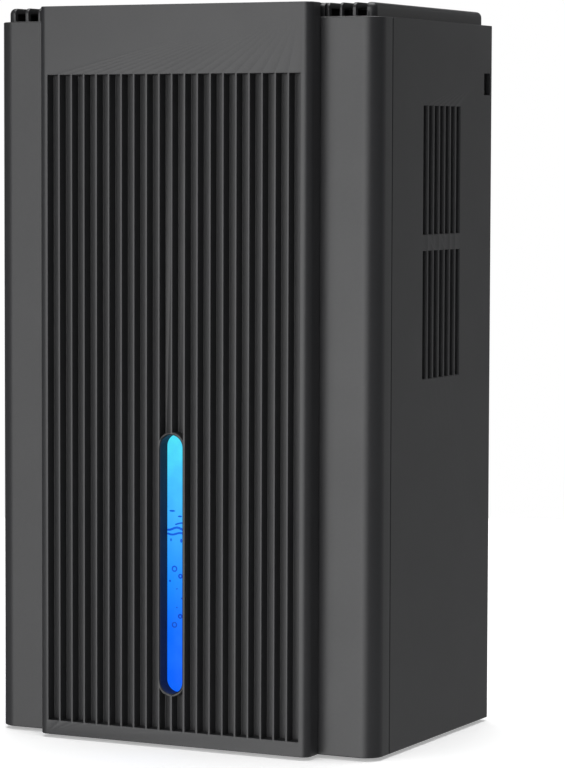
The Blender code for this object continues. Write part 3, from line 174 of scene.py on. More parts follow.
class Look:
    """A procedural material that is built up node by node."""

    def __init__(self, name, **constants):
        self.material = bpy.data.materials.new(name)
        self.material.use_nodes = True
        self.tree = self.material.node_tree
        self.shader = self.tree.nodes["Principled BSDF"]
        for socket, value in constants.items():
            self.shader.inputs[socket.replace("_", " ")].default_value = value
        self.place = self.add("ShaderNodeTexCoord").outputs["Object"]

    def add(self, kind, **inputs):
        node = self.tree.nodes.new(kind)
        for socket, value in inputs.items():
            self.put(node.inputs[socket.replace("_", " ")], value)
        return node

    def put(self, socket, value):
        if isinstance(value, bpy.types.NodeSocket):
            self.tree.links.new(value, socket)
        else:
            socket.default_value = value

    def stretch(self, scale):
        node = self.add("ShaderNodeMapping", Vector=self.place)
        node.inputs["Scale"].default_value = scale
        return node.outputs[0]

    def noise(self, scale, detail=2.0, rough=0.5, place=None):
        made = self.add(
            "ShaderNodeTexNoise",
            Vector=place or self.place,
            Scale=scale,
            Detail=detail,
            Roughness=rough,
        )
        return made.outputs["Fac"]

    def cells(self, scale):
        made = self.add("ShaderNodeTexVoronoi", Vector=self.place, Scale=scale)
        return made.outputs["Distance"]

    def remap(self, value, low, high, start=0.0, end=1.0):
        made = self.add("ShaderNodeMapRange", Value=value)
        made.inputs["From Min"].default_value = low
        made.inputs["From Max"].default_value = high
        made.inputs["To Min"].default_value = start
        made.inputs["To Max"].default_value = end
        return made.outputs[0]

    def math(self, operation, first, second):
        made = self.tree.nodes.new("ShaderNodeMath")
        made.operation = operation
        self.put(made.inputs[0], first)
        self.put(made.inputs[1], second)
        return made.outputs[0]

    def mix(self, factor, first, second):
        made = self.tree.nodes.new("ShaderNodeMix")
        made.data_type = "RGBA"
        self.put(made.inputs["Factor"], factor)
        self.put(made.inputs["A"], first)
        self.put(made.inputs["B"], second)
        return made.outputs["Result"]

    def bump(self, height, distance, under=None):
        made = self.add("ShaderNodeBump", Height=height, Distance=distance, Strength=1.0)
        if under is not None:
            self.put(made.inputs["Normal"], under)
        return made.outputs[0]

    def edges(self):
        """Edges and corners, from 0 on the flat to 1 on the edge."""
        geometry = self.tree.nodes.new("ShaderNodeNewGeometry")
        rounded_off = self.add("ShaderNodeBevel", Radius=EDGE_REACH)
        rounded_off.samples = 4
        compare = self.tree.nodes.new("ShaderNodeVectorMath")
        compare.operation = "DOT_PRODUCT"
        self.put(compare.inputs[0], rounded_off.outputs[0])
        self.put(compare.inputs[1], geometry.outputs["Normal"])
        return self.remap(compare.outputs["Value"], 0.995, 0.85)

    def upward(self):
        """How far the surface faces up, from 0 to 1."""
        geometry = self.tree.nodes.new("ShaderNodeNewGeometry")
        split = self.add("ShaderNodeSeparateXYZ", Vector=geometry.outputs["Normal"])
        return self.remap(split.outputs["Z"], 0.7, 1.0)

    def finish(self, colour, roughness, normal=None):
        self.put(self.shader.inputs["Base Color"], colour)
        self.put(self.shader.inputs["Roughness"], roughness)
        if normal is not None:
            self.put(self.shader.inputs["Normal"], normal)
        return self.material


def shade(colour, factor):
    return (colour[0] * factor, colour[1] * factor, colour[2] * factor, 1.0)


def moulded(name, colour, roughness, pitch=3600.0):
    """Moulded plastic: spark-eroded grain, faint flow marks, edges lightened as a painted highlight
    broken up like rubbed wear, and a trace of dust.
    """
    look = Look(name)
    cloud = look.noise(14.0, 3.0)
    speck = look.noise(900.0, 2.0)
    tone = look.mix(look.remap(cloud, 0.3, 0.7), shade(colour, 0.95), shade(colour, 1.05))
    tone = look.mix(look.remap(speck, 0.35, 0.65, 0.0, 0.25), tone, shade(colour, 1.45))
    # Painted edge highlight: the edges are lightened in colour in noise patches, like rubbed wear, and
    # the same mask makes them a little glossier.
    edge_highlight_and_wear = look.math("MULTIPLY", look.edges(), look.remap(look.noise(120.0, 3.0), 0.45, 0.7))
    tone = look.mix(look.math("MULTIPLY", edge_highlight_and_wear, 0.4), tone, shade(colour, 2.0))
    dust = look.math("MULTIPLY", look.upward(), look.remap(look.noise(260.0, 5.0), 0.52, 0.75))
    tone = look.mix(look.math("MULTIPLY", dust, 0.018), tone, (0.35, 0.34, 0.32, 1.0))
    gloss = look.remap(look.noise(45.0, 4.0), 0.3, 0.7, roughness - 0.012, roughness + 0.016)
    gloss = look.math("SUBTRACT", gloss, look.math("MULTIPLY", edge_highlight_and_wear, 0.08))
    flat = look.bump(look.noise(22.0, 2.0), FLOW_HEIGHT)
    face = look.bump(look.noise(pitch, 3.0, 0.65), GRAIN_HEIGHT, flat)
    return look.finish(tone, gloss, face)


def rubber(name, colour):
    look = Look(name)
    cloud = look.noise(60.0, 4.0)
    tone = look.mix(look.remap(cloud, 0.3, 0.7), shade(colour, 0.8), shade(colour, 1.5))
    dust = look.remap(look.noise(420.0, 4.0), 0.55, 0.8, 0.0, 0.25)
    tone = look.mix(dust, tone, (0.12, 0.115, 0.11, 1.0))
    gloss = look.remap(look.noise(300.0, 3.0), 0.3, 0.7, 0.72, 0.9)
    face = look.bump(look.noise(2200.0, 3.0), 0.00005)
    return look.finish(tone, gloss, face)


def metal(name, colour, roughness, grain_scale):
    """Metal with drawn or brushed lines along the stretched axis."""
    look = Look(name, Metallic=1.0)
    lines = look.noise(420.0, 3.0, 0.6, look.stretch(grain_scale))
    cloud = look.noise(40.0, 3.0)
    tone = look.mix(look.remap(cloud, 0.3, 0.7), shade(colour, 0.84), shade(colour, 1.05))
    tone = look.mix(look.remap(lines, 0.35, 0.65, 0.0, 0.3), tone, shade(colour, 0.7))
    gloss = look.remap(lines, 0.3, 0.7, roughness - 0.07, roughness + 0.10)
    face = look.bump(lines, GRAIN_HEIGHT)
    return look.finish(tone, gloss, face)


def board_look():
    """Green solder mask over faint copper tracks."""
    look = Look("board_mask", Coat_Weight=0.6)
    tracks = look.add("ShaderNodeTexBrick", Vector=look.place, Scale=160.0, Mortar_Size=0.03)
    tracks.inputs["Color1"].default_value = (0.004, 0.075, 0.03, 1.0)
    tracks.inputs["Color2"].default_value = (0.006, 0.095, 0.04, 1.0)
    tracks.inputs["Mortar"].default_value = (0.02, 0.20, 0.08, 1.0)
    cloud = look.remap(look.noise(90.0, 3.0), 0.35, 0.65, 0.0, 0.35)
    tone = look.mix(cloud, tracks.outputs["Color"], (0.003, 0.05, 0.02, 1.0))
    gloss = look.remap(look.noise(500.0, 2.0), 0.3, 0.7, 0.28, 0.42)
    face = look.bump(tracks.outputs["Fac"], 0.00003)
    return look.finish(tone, gloss, face)


def polished(name, colour):
    """Polished black plastic with hairline scratches and a few specks of dust."""
    look = Look(name, Coat_Weight=0.3)
    cloud = look.noise(30.0, 2.0)
    tone = look.mix(look.remap(cloud, 0.3, 0.7), shade(colour, 0.8), shade(colour, 1.3))
    dust = look.remap(look.noise(900.0, 4.0), 0.64, 0.78, 0.0, 0.35)
    tone = look.mix(dust, tone, (0.25, 0.25, 0.24, 1.0))
    hair = look.noise(260.0, 3.0, 0.7, look.stretch((1.0, 14.0, 1.0)))
    gloss = look.remap(hair, 0.5, 0.75, 0.10, 0.26)
    face = look.bump(hair, 0.000006)
    return look.finish(tone, gloss, face)


def smoky_look():
    """Smoke-tinted clear polystyrene, faintly hazed by scattered patches of limescale."""
    look = Look("tank_smoke", Transmission_Weight=0.92, IOR=1.49)
    cloud = look.noise(24.0, 3.0)
    tone = look.mix(look.remap(cloud, 0.3, 0.7), (0.50, 0.57, 0.62, 1.0), (0.58, 0.65, 0.70, 1.0))
    scale_marks = look.remap(look.noise(160.0, 5.0), 0.5, 0.8)
    tone = look.mix(look.math("MULTIPLY", scale_marks, 0.3), tone, (0.76, 0.78, 0.79, 1.0))
    gloss = look.remap(look.noise(90.0, 4.0), 0.3, 0.7, 0.03, 0.09)
    face = look.bump(look.noise(40.0, 2.0), 0.00003)
    return look.finish(tone, gloss, face)


def glow_look(name, stops, strength, low, high, mottle=0.18):
    """Light shining through a tinted film, coloured by height between two levels."""
    look = Look(name)
    split = look.add("ShaderNodeSeparateXYZ", Vector=look.place)
    height = look.remap(split.outputs["Z"], level(low), level(high))
    ramp = look.add("ShaderNodeValToRGB", Fac=height)
    band = ramp.color_ramp
    while len(band.elements) < len(stops):
        band.elements.new(0.5)
    for element, (place, colour) in zip(band.elements, stops):
        element.position = place
        element.color = (*[linear(c) for c in colour], 1.0)
    cloud = look.remap(look.noise(190.0, 3.0), 0.35, 0.65, 0.0, mottle)
    tone = look.mix(cloud, ramp.outputs["Color"], (0.02, 0.22, 0.95, 1.0))
    look.put(look.shader.inputs["Emission Color"], tone)
    look.shader.inputs["Emission Strength"].default_value = strength
    gloss = look.remap(look.noise(600.0, 2.0), 0.3, 0.7, 0.22, 0.34)
    face = look.bump(look.noise(1500.0, 2.0), 0.00002)
    look.shader.inputs["Specular IOR Level"].default_value = 0.02
    return look.finish((0.01, 0.03, 0.05, 1.0), gloss, face)


def film_look():
    """The printed water motif on the lit film, a darker blue that deepens downwards."""
    stops = ((0.0, (0, 44, 180)), (0.45, (0, 58, 206)), (1.0, (0, 84, 216)))
    return glow_look("film", stops, 1.0, 0.0500, 0.1080, 0.3)


def painted_glow_look():
    """Painted glow: a matt navy tint that stands for the window's blue light falling on the dark tunnel
    wall; the matt face takes little of the film's light.
    """
    look = Look("painted_glow_sheet")
    cloud = look.noise(160.0, 3.0)
    # Painted light: the navy tint is the window's blue glow painted onto the dark tunnel wall.
    tone = look.mix(look.remap(cloud, 0.3, 0.7), (0.014, 0.024, 0.050, 1.0), (0.018, 0.031, 0.066, 1.0))
    gloss = look.remap(look.noise(900.0, 2.0), 0.3, 0.7, 0.62, 0.74)
    look.shader.inputs["Specular IOR Level"].default_value = 0.25
    return look.finish(tone, gloss, look.bump(look.noise(2600.0, 2.0), 0.00002))


def linear(value):
    """A display value from 0 to 255 as linear light."""
    value /= 255.0
    return value / 12.92 if value <= 0.04045 else ((value + 0.055) / 1.055) ** 2.4


def foam_look(name, colour):
    look = Look(name)
    pores = look.cells(1500.0)
    tone = look.mix(look.remap(pores, 0.0, 0.6), shade(colour, 0.7), shade(colour, 1.05))
    gloss = look.remap(look.noise(300.0, 2.0), 0.3, 0.7, 0.82, 0.95)
    face = look.bump(pores, 0.00015)
    return look.finish(tone, gloss, face)


def make_looks():
    return {
        "casing": moulded("casing", (0.0205, 0.0207, 0.0220), 0.35),
        "base_black": moulded("base_black", (0.014, 0.014, 0.015), 0.55),
        "foot_rubber": rubber("foot_rubber", (0.012, 0.012, 0.012)),
        "window_lens": glow_look(
            "window_lens",
            (
                (0.0, (0, 92, 250)),
                (0.26, (0, 106, 255)),
                (0.45, (26, 142, 255)),
                (0.66, (62, 176, 255)),
                (0.84, (74, 204, 250)),
                (1.0, (82, 234, 244)),
            ),
            1.0,
            0.0230,
            0.1395,
        ),
        "film": film_look(),
        # painted navy glow of the window on its tunnel wall
        "painted_glow_sheet": painted_glow_look(),
        "print": moulded("sign_print", (0.30, 0.30, 0.31), 0.5, pitch=6000.0),
        "control_gloss": polished("control_gloss", (0.006, 0.006, 0.007)),
        "button_plastic": moulded("button_plastic", (0.020, 0.020, 0.022), 0.34, pitch=5200.0),
        "inner_plastic": moulded("inner_plastic", (0.055, 0.056, 0.06), 0.5),
        "lid_plastic": moulded("lid_plastic", (0.055, 0.056, 0.06), 0.38),
        "tank_smoke": smoky_look(),
        "circuit_board": board_look(),
        "fan_plastic": moulded("fan_plastic", (0.030, 0.030, 0.032), 0.36),
        "foam": foam_look("foam", (0.66, 0.66, 0.64)),
        "ceramic": moulded("ceramic", (0.76, 0.75, 0.72), 0.46),
        "float_foam": foam_look("float_foam", (0.80, 0.80, 0.78)),
        "aluminium": metal("aluminium", (0.74, 0.75, 0.77), 0.34, (1.0, 1.0, 0.04)),
        "steel": metal("steel", (0.56, 0.57, 0.60), 0.30, (1.0, 1.0, 1.0)),
        "lead_rubber": rubber("lead_rubber", (0.014, 0.014, 0.014)),
    }


# ---------------------------------------------------------------- mesh helpers


def link(name, mesh):
    piece = bpy.data.objects.new(name, mesh)
    SCENE.collection.objects.link(piece)
    return piece


REPLACED = set()


def dress(piece, slot_name, body, *nodes, look=None):
    """Give a piece its finish and its body, and hide the CAD nodes it stands for."""
    piece.data.materials.clear()
    piece.data.materials.append(look or LOOKS[slot_name])
    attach(piece, body)
    if nodes:
        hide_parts(*nodes)
        REPLACED.update(nodes)


def evaluated_mesh(piece):
    """A piece's mesh with its modifiers applied."""
    bpy.context.view_layer.update()
    graph = bpy.context.evaluated_depsgraph_get()
    return bpy.data.meshes.new_from_object(piece.evaluated_get(graph))


def smooth(mesh, angle):
    """Smooth shading, with edges kept sharp from an angle in degrees."""
    mesh.shade_smooth()
    mesh.set_sharp_from_angle(angle=math.radians(angle))


def welded(node):
    """A copy of a CAD node's mesh with its split corners joined again."""
    bm = bmesh.new()
    bm.from_mesh(NODES[node].data)
    bmesh.ops.remove_doubles(bm, verts=bm.verts, dist=0.000002)
    mesh = bpy.data.meshes.new(node + "_skin")
    bm.to_mesh(mesh)
    bm.free()
    return mesh


def soften(piece, width):
    """Rounded moulded edges on everything sharper than 30 degrees."""
    bevel = piece.modifiers.new("edge", "BEVEL")
    bevel.width = width
    bevel.segments = 2
    bevel.limit_method = "ANGLE"
    bevel.angle_limit = math.radians(30.0)
    bevel.use_clamp_overlap = False
    piece.data.shade_smooth()


def baked(piece, low, high):
    """Apply the modifiers, keep the result between two corners and even out its shading."""
    mesh = evaluated_mesh(piece)
    piece.modifiers.clear()
    for vertex in mesh.vertices:
        for axis in range(3):
            vertex.co[axis] = min(max(vertex.co[axis], low[axis]), high[axis])
    smooth(mesh, 38.0)
    piece.data = mesh
    weighted = piece.modifiers.new("shading", "WEIGHTED_NORMAL")
    weighted.keep_sharp = True
    weighted.mode = "FACE_AREA_WITH_ANGLE"
    weighted.weight = 100


def refine(node, width):
    """The CAD node again, with rounded edges and its finished material."""
    piece = link(node + "_skin", welded(node))
    soften(piece, width)
    baked(piece, *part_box(node))
    dress(piece, SLOT_OF[node], BODY_OF[node], node)


# ---------------------------------------------------------------- shape helpers

TINY = 0.000001


def from_bmesh(name, bm):
    mesh = bpy.data.meshes.new(name)
    bm.to_mesh(mesh)
    bm.free()
    return link(name, mesh)


def lathe(name, profile, steps):
    """A turned shape about Z from (radius, height) points that run from the top down."""
    bm = bmesh.new()
    rings = []
    for radius, height in profile:
        if radius < TINY:
            rings.append([bm.verts.new((0.0, 0.0, height))])
            continue
        ring = []
        for step in range(steps):
            angle = math.tau * step / steps
            ring.append(bm.verts.new((radius * math.cos(angle), radius * math.sin(angle), height)))
        rings.append(ring)
    for upper, lower in zip(rings, rings[1:]):
        for step in range(max(len(upper), len(lower))):
            after = (step + 1) % max(len(upper), len(lower))
            corners = [upper[step % len(upper)], lower[step % len(lower)]]
            corners.append(lower[after % len(lower)])
            corners.append(upper[after % len(upper)])
            bm.faces.new(list(dict.fromkeys(corners)))
    return from_bmesh(name, bm)


def bar(name, size, place, width):
    """A small block with rounded edges."""
    bm = bmesh.new()
    bmesh.ops.create_cube(bm, size=1.0, matrix=Matrix.Diagonal((*size, 1.0)))
    bmesh.ops.translate(bm, verts=bm.verts, vec=place)
    bmesh.ops.bevel(bm, geom=bm.edges[:], offset=width, segments=2, profile=0.5, affect="EDGES")
    return from_bmesh(name, bm)


def strand(name, points, radius, cyclic=False):
    """A round strand through points, as a mesh."""
    path = bpy.data.curves.new(name, "CURVE")
    path.dimensions = "3D"
    path.bevel_depth = radius
    path.bevel_resolution = 3
    path.use_fill_caps = not cyclic
    spline = path.splines.new("POLY")
    spline.points.add(len(points) - 1)
    for point, place in zip(spline.points, points):
        point.co = (*place, 1.0)
    spline.use_cyclic_u = cyclic
    guide = link(name + "_path", path)
    mesh = evaluated_mesh(guide)
    bpy.data.objects.remove(guide, do_unlink=True)
    mesh.shade_smooth()
    return link(name, mesh)


def united(name, pieces):
    """Several pieces as one object."""
    bm = bmesh.new()
    for piece in pieces:
        copy = piece.data.copy()
        copy.transform(piece.matrix_basis)
        bm.from_mesh(copy)
        bpy.data.meshes.remove(copy)
        bpy.data.objects.remove(piece, do_unlink=True)
    made = from_bmesh(name, bm)
    smooth(made.data, 40.0)
    return made


def arc(middle, radius, start, end, steps):
    """Points (a, b) on an arc, in degrees, both ends included."""
    points = []
    for step in range(steps + 1):
        angle = math.radians(start + (end - start) * step / steps)
        points.append((middle[0] + radius * math.cos(angle), middle[1] + radius * math.sin(angle)))
    return points


# ---------------------------------------------------------------- lit window

FILM_DEPTH = 0.00728
FILM_BUBBLE_LINE = 0.00034
FILM_DROP_THICKNESS = 0.00016
FILM_DROP_SIDES = 16
FILM_DROP_RINGS = 8
FILM_WAVE_RATE = 0.72


def film_line(points, radius, cyclic=False):
    """A drawn line on the lit film, from (x, level) points in millimetres."""
    places = [(x / 1000, depth(FILM_DEPTH), level(z / 1000)) for x, z in points]
    return strand("film_line", places, radius, cyclic)


def film_drop(x, z, wide, tall):
    """A flat drop or blob on the film, in millimetres."""
    ball = arc((0.0, 0.0), 1.0, 90.0, -90.0, FILM_DROP_RINGS)
    drop = lathe("film_drop", ball, FILM_DROP_SIDES)
    size = Matrix.Diagonal((wide / 1000, FILM_DROP_THICKNESS, tall / 1000, 1.0))
    spot = Matrix.Translation((x / 1000, depth(FILM_DEPTH), level(z / 1000)))
    drop.data.transform(spot @ size)
    return drop


FILM_HALF = 5.5
FILM_STEPS = 40
# Each wave: middle level, height, starting angle and leftmost x in millimetres, radius in metres
FILM_WAVES = (
    (98.9, 0.45, 0.4, -1.6, 0.00036),
    (96.6, 0.60, 2.1, -FILM_HALF, 0.00052),
    (94.4, 0.45, 0.9, -FILM_HALF, 0.00046),
)
# Each bubble: x, level and radius
FILM_BUBBLES = ((-2.1, 78.6, 1.10), (0.9, 75.4, 0.80), (-2.1, 53.3, 1.05), (0.8, 57.3, 0.80))
# Each drop: x, level, half width and half height
FILM_DROPS = (
    (-3.3, 104.6, 1.50, 0.42),
    (0.6, 102.3, 1.05, 0.38),
    (3.2, 101.2, 0.70, 0.36),
    (1.3, 91.4, 0.50, 0.95),
    (-3.9, 91.6, 0.40, 0.70),
    (2.6, 83.6, 0.42, 0.42),
    (-4.4, 73.0, 0.52, 0.52),
    (-0.9, 69.6, 0.32, 0.32),
    (1.6, 65.4, 0.42, 0.42),
    (-0.9, 61.2, 0.30, 0.30),
)


def make_water_film():
    """A plain motif of rippled water lines, round bubbles below them and drops above and below."""
    pieces = []
    for middle, height, start, left, radius in FILM_WAVES:
        wave = []
        for step in range(FILM_STEPS + 1):
            x = left + (FILM_HALF - left) * step / FILM_STEPS
            wave.append((x, middle + height * math.sin(x * FILM_WAVE_RATE + start)))
        pieces.append(film_line(wave, radius))
    for x, z, radius in FILM_BUBBLES:
        ring = arc((x, z), radius, 0.0, 345.0, 23)
        pieces.append(film_line(ring, FILM_BUBBLE_LINE, True))
    for x, z, wide, tall in FILM_DROPS:
        pieces.append(film_drop(x, z, wide, tall))
    film = united("window_water_film", pieces)
    dress(film, "window_lens", "housing", look=LOOKS["film"])


GLOW_SHEET_HALF = 0.00572
GLOW_SHEET_LEVELS = (0.02307, 0.13943)
GLOW_SHEET_DEPTHS = (0.0004, 0.0070)
GLOW_SHEET_WALL = 0.00012
GLOW_SHEET_STEPS = 20


def stadium_ring(half, levels):
    """Points (x, level) round an upright stadium."""
    low, high = levels[0] + half, levels[1] - half
    upper = arc((0.0, high), half, 0.0, 180.0, GLOW_SHEET_STEPS)
    lower = arc((0.0, low), half, 180.0, 360.0, GLOW_SHEET_STEPS)
    return upper + lower


def make_painted_glow_sheet():
    """A thin dark sheet over the window's tunnel wall that carries the painted navy glow of the window.
    """
    bm = bmesh.new()
    loops = []
    for inset, back in ((0.0, 0), (GLOW_SHEET_WALL, 0), (GLOW_SHEET_WALL, 1), (0.0, 1)):
        levels = (GLOW_SHEET_LEVELS[0] + inset, GLOW_SHEET_LEVELS[1] - inset)
        ring = stadium_ring(GLOW_SHEET_HALF - inset, levels)
        y = depth(GLOW_SHEET_DEPTHS[back])
        loops.append([bm.verts.new((x, y, level(z))) for x, z in ring])
    count = len(loops[0])
    for first, second in zip(loops, loops[1:] + loops[:1]):
        for k in range(count):
            after = (k + 1) % count
            bm.faces.new((first[k], first[after], second[after], second[k]))
    bmesh.ops.recalc_face_normals(bm, faces=bm.faces)
    painted_glow_sheet = from_bmesh("window_painted_glow_sheet", bm)
    smooth(painted_glow_sheet.data, 40.0)
    dress(painted_glow_sheet, "window_lens", "housing", look=LOOKS["painted_glow_sheet"])


# ---------------------------------------------------------------- screws


SCREW_STEPS = 24
THREAD_PITCH = 0.0009
SCREW_FIRST_TURN = 0.7
SCREW_NEXT_TURN = 1.9


def cross_cutter(radius, drop):
    """Two crossed wedges that cut a screw's recess."""
    pieces = []
    for turn in (0.0, math.pi / 2):
        bm = bmesh.new()
        bmesh.ops.create_cone(
            bm, cap_ends=True, segments=4, radius1=radius * 0.5, radius2=radius * 1.5, depth=drop * 2
        )
        bmesh.ops.rotate(bm, verts=bm.verts, matrix=Matrix.Rotation(math.pi / 4, 3, "Z"))
        bmesh.ops.scale(bm, verts=bm.verts, vec=(0.24, 1.0, 1.0))
        bmesh.ops.rotate(bm, verts=bm.verts, matrix=Matrix.Rotation(turn, 3, "Z"))
        pieces.append(from_bmesh("recess", bm))
    return pieces


def screw_mesh(head, rise, shank, length):
    """A domed cross-recess head on a ringed shank, with its seat at the origin."""
    dome = [(0.0, rise)]
    for step in range(1, 6):
        angle = math.radians(step * 16.0)
        dome.append((head * 0.97 * math.sin(angle), rise * (0.25 + 0.75 * math.cos(angle))))
    profile = dome + [(head, rise * 0.25), (head, 0.0), (shank, 0.0)]
    rings = int(length / THREAD_PITCH)
    for ring in range(rings):
        top = -length * ring / rings
        profile.append((shank * 0.86, top - length / rings * 0.3))
        profile.append((shank, top - length / rings * 0.65))
    profile += [(shank * 0.5, -length), (0.0, -length)]
    screw = lathe("screw", profile, SCREW_STEPS)
    for cutter in cross_cutter(head * 0.62, rise * 0.95):
        cutter.location = (0.0, 0.0, rise)
        step = screw.modifiers.new("recess", "BOOLEAN")
        step.operation = "DIFFERENCE"
        step.solver = "EXACT"
        step.object = cutter
    mesh = evaluated_mesh(screw)
    for step in screw.modifiers:
        bpy.data.objects.remove(step.object, do_unlink=True)
    bpy.data.objects.remove(screw, do_unlink=True)
    smooth(mesh, 32.0)
    return mesh


# Each family of screws: the way its heads face and how far they rise
SCREW_ENDS = {
    "base_screw": (Vector((0.0, 0.0, -1.0)), 0.0012),
    "rear_screw": (Vector((0.0, 1.0, 0.0)), 0.0012),
    "fan_screw": (Vector((0.0, 1.0, 0.0)), 0.0022),
    "clamp_screw": (Vector((0.0, -1.0, 0.0)), 0.0024),
}
SHANK = 0.0015


def make_screws():
    for family, (facing, rise) in SCREW_ENDS.items():
        names = sorted(n for n in NODES if n.startswith(family))
        axis = max(range(3), key=lambda k: abs(facing[k]))
        across = (axis + 1) % 3
        mesh = None
        for number, node in enumerate(names):
            low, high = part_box(node)
            span = high - low
            if mesh is None:
                mesh = screw_mesh(span[across] / 2, rise, SHANK, span[axis] - rise)
            seat = (low + high) / 2
            tip = high[axis] if facing[axis] > 0 else low[axis]
            seat[axis] = tip - facing[axis] * rise
            own = mesh.copy()
            spin = Matrix.Rotation(SCREW_FIRST_TURN + SCREW_NEXT_TURN * number, 4, "Z")
            turn = facing.to_track_quat("Z", "Y").to_matrix().to_4x4()
            own.transform(Matrix.Translation(seat) @ turn @ spin)
            dress(link(node + "_skin", own), "steel", BODY_OF[node], node)


# ---------------------------------------------------------------- buttons

ICON_HALF = 0.0024
ICON_LINE = 0.00026
BUTTON_FLANGE = 0.0012
BUTTON_FLANGE_HEIGHT = 0.0008
BUTTON_EDGE = 0.0007


def icon_line(middle, points, cyclic=False):
    places = [(middle[0] + x, middle[1] + y, middle[2]) for x, y in points]
    return strand("icon_line", places, ICON_LINE, cyclic)


def power_icon(middle):
    ring = arc((0.0, 0.0), ICON_HALF, 120.0, 420.0, 28)
    stem = [(0.0, ICON_HALF * 0.35), (0.0, ICON_HALF * 1.15)]
    return [icon_line(middle, ring), icon_line(middle, stem)]


def speed_icon(middle):
    pieces = []
    for number in range(3):
        turn = Matrix.Rotation(math.tau * number / 3, 2)
        petal = arc((ICON_HALF * 0.62, 0.0), ICON_HALF * 0.5, -165.0, 165.0, 18)
        pieces.append(icon_line(middle, [turn @ Vector(p) for p in petal], True))
    return pieces


def light_icon(middle):
    pieces = [icon_line(middle, arc((0.0, 0.0), ICON_HALF * 0.5, 0.0, 345.0, 23), True)]
    for number in range(8):
        turn = Matrix.Rotation(math.tau * number / 8, 2)
        ray = [turn @ Vector((ICON_HALF * k, 0.0)) for k in (0.8, 1.15)]
        pieces.append(icon_line(middle, ray))
    return pieces


def make_buttons():
    """Dished caps with a rounded rim, each with a plain printed sign."""
    icons = {"power_button": power_icon, "speed_button": speed_icon, "light_button": light_icon}
    for node, icon in icons.items():
        low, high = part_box(node)
        middle = (low + high) / 2
        flange = (high.x - low.x) / 2
        cap = flange - BUTTON_FLANGE
        top = high.z - middle.z
        foot = low.z - middle.z
        edge = BUTTON_EDGE
        shoulder = foot + BUTTON_FLANGE_HEIGHT
        profile = [(0.0, top - 0.00022), (cap * 0.45, top - 0.00018), (cap - 0.0014, top - 0.00006)]
        profile += arc((cap - edge, top - edge), edge, 90.0, 0.0, 5)
        profile += [(cap, shoulder), (flange, shoulder), (flange, foot), (0.0, foot)]
        button = lathe(node + "_skin", profile, 48)
        smooth(button.data, 50.0)
        button.location = middle
        dress(button, "button_plastic", BODY_OF[node], node)
        spot = Vector((middle.x, middle.y, high.z - ICON_LINE))
        sign = united(node + "_sign", icon(spot))
        dress(sign, "button_plastic", BODY_OF[node], look=LOOKS["print"])


# ---------------------------------------------------------------- fan rotor

BLADES = 7
BLADE_STATIONS = 9
BLADE_STEPS = 12
BLADE_TIP = 0.0420
BLADE_ROOT_SUNK = 0.0006
HUB_RADIUS = 0.0160
HUB_ROUND = 0.0018
SPINDLE_LENGTH = 0.0030


def blade_section(radius, chord, pitch, sweep, thickness):
    """Points round one cambered blade section at a radius, wrapped onto its cylinder about Y."""
    upper, lower = [], []
    for step in range(BLADE_STEPS + 1):
        t = step / BLADE_STEPS
        along = (t - 0.5) * chord
        camber = chord * 0.09 * (1.0 - (2.0 * t - 1.0) ** 2)
        half = thickness * (0.25 + 0.75 * math.sqrt(max(0.0, 4.0 * t * (1.0 - t)))) / 2
        for side, offset in ((upper, camber + half), (lower, camber - half)):
            around = along * math.cos(pitch) - offset * math.sin(pitch)
            axial = along * math.sin(pitch) + offset * math.cos(pitch)
            angle = sweep + around / radius
            side.append((radius * math.cos(angle), axial, radius * math.sin(angle)))
    return upper + lower[::-1]


def make_rotor():
    """Twisted blades that are sunk a little into a rounded hub with a spindle behind it."""
    low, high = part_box("fan_rotor")
    middle = Vector(((low.x + high.x) / 2, 0.0, (low.z + high.z) / 2))
    hub_front = low.y
    spindle_back = high.y
    hub_back = spindle_back - SPINDLE_LENGTH
    hub = HUB_RADIUS
    root = hub - BLADE_ROOT_SUNK
    axial_middle = (hub_front + hub_back) / 2
    bm = bmesh.new()
    for number in range(BLADES):
        turn = Matrix.Rotation(math.tau * number / BLADES, 3, "Y")
        sections = []
        for station in range(BLADE_STATIONS):
            t = station / (BLADE_STATIONS - 1)
            radius = root + (BLADE_TIP - root) * t
            pitch = math.radians(46.0 - 20.0 * t)
            chord = 0.0150 + 0.0075 * t
            loop = blade_section(radius, chord, pitch, 0.22 * t * t, 0.0017 - 0.0006 * t)
            sections.append([bm.verts.new(turn @ Vector(p)) for p in loop])
        count = len(sections[0])
        for inner, outer in zip(sections, sections[1:]):
            for k in range(count):
                after = (k + 1) % count
                bm.faces.new((inner[k], inner[after], outer[after], outer[k]))
        bm.faces.new(sections[0][::-1])
        bm.faces.new(sections[-1])
    bmesh.ops.recalc_face_normals(bm, faces=bm.faces)
    bmesh.ops.translate(bm, verts=bm.verts, vec=(0.0, axial_middle, 0.0))
    blades = from_bmesh("blades", bm)
    length = hub_back - hub_front
    profile = [(0.0, length), (0.0030, length), (0.0034, length - 0.0004), (0.0110, length - 0.0004)]
    profile += arc((hub - HUB_ROUND, length - HUB_ROUND), HUB_ROUND, 90.0, 0.0, 6)
    profile += [(hub, 0.0), (0.0017, 0.0), (0.0015, -0.0002), (0.0015, hub_back - spindle_back)]
    profile += [(0.0, hub_back - spindle_back)]
    core = lathe("core", profile, 64)
    core.data.transform(Matrix.Translation((0.0, hub_back, 0.0)) @ Matrix.Rotation(math.pi / 2, 4, "X"))
    rotor = united("fan_rotor_skin", [blades, core])
    rotor.location = middle
    dress(rotor, "fan_plastic", BODY_OF["fan_rotor"], "fan_rotor")


# ---------------------------------------------------------------- tank level lines

LINE_LEVELS = (0.030, 0.055, 0.080, 0.105)
LINE_LENGTHS = (0.018, 0.018, 0.018, 0.030)
LINE_SIZE = (0.0005, 0.0007)
LINE_WIDTH = 0.00015


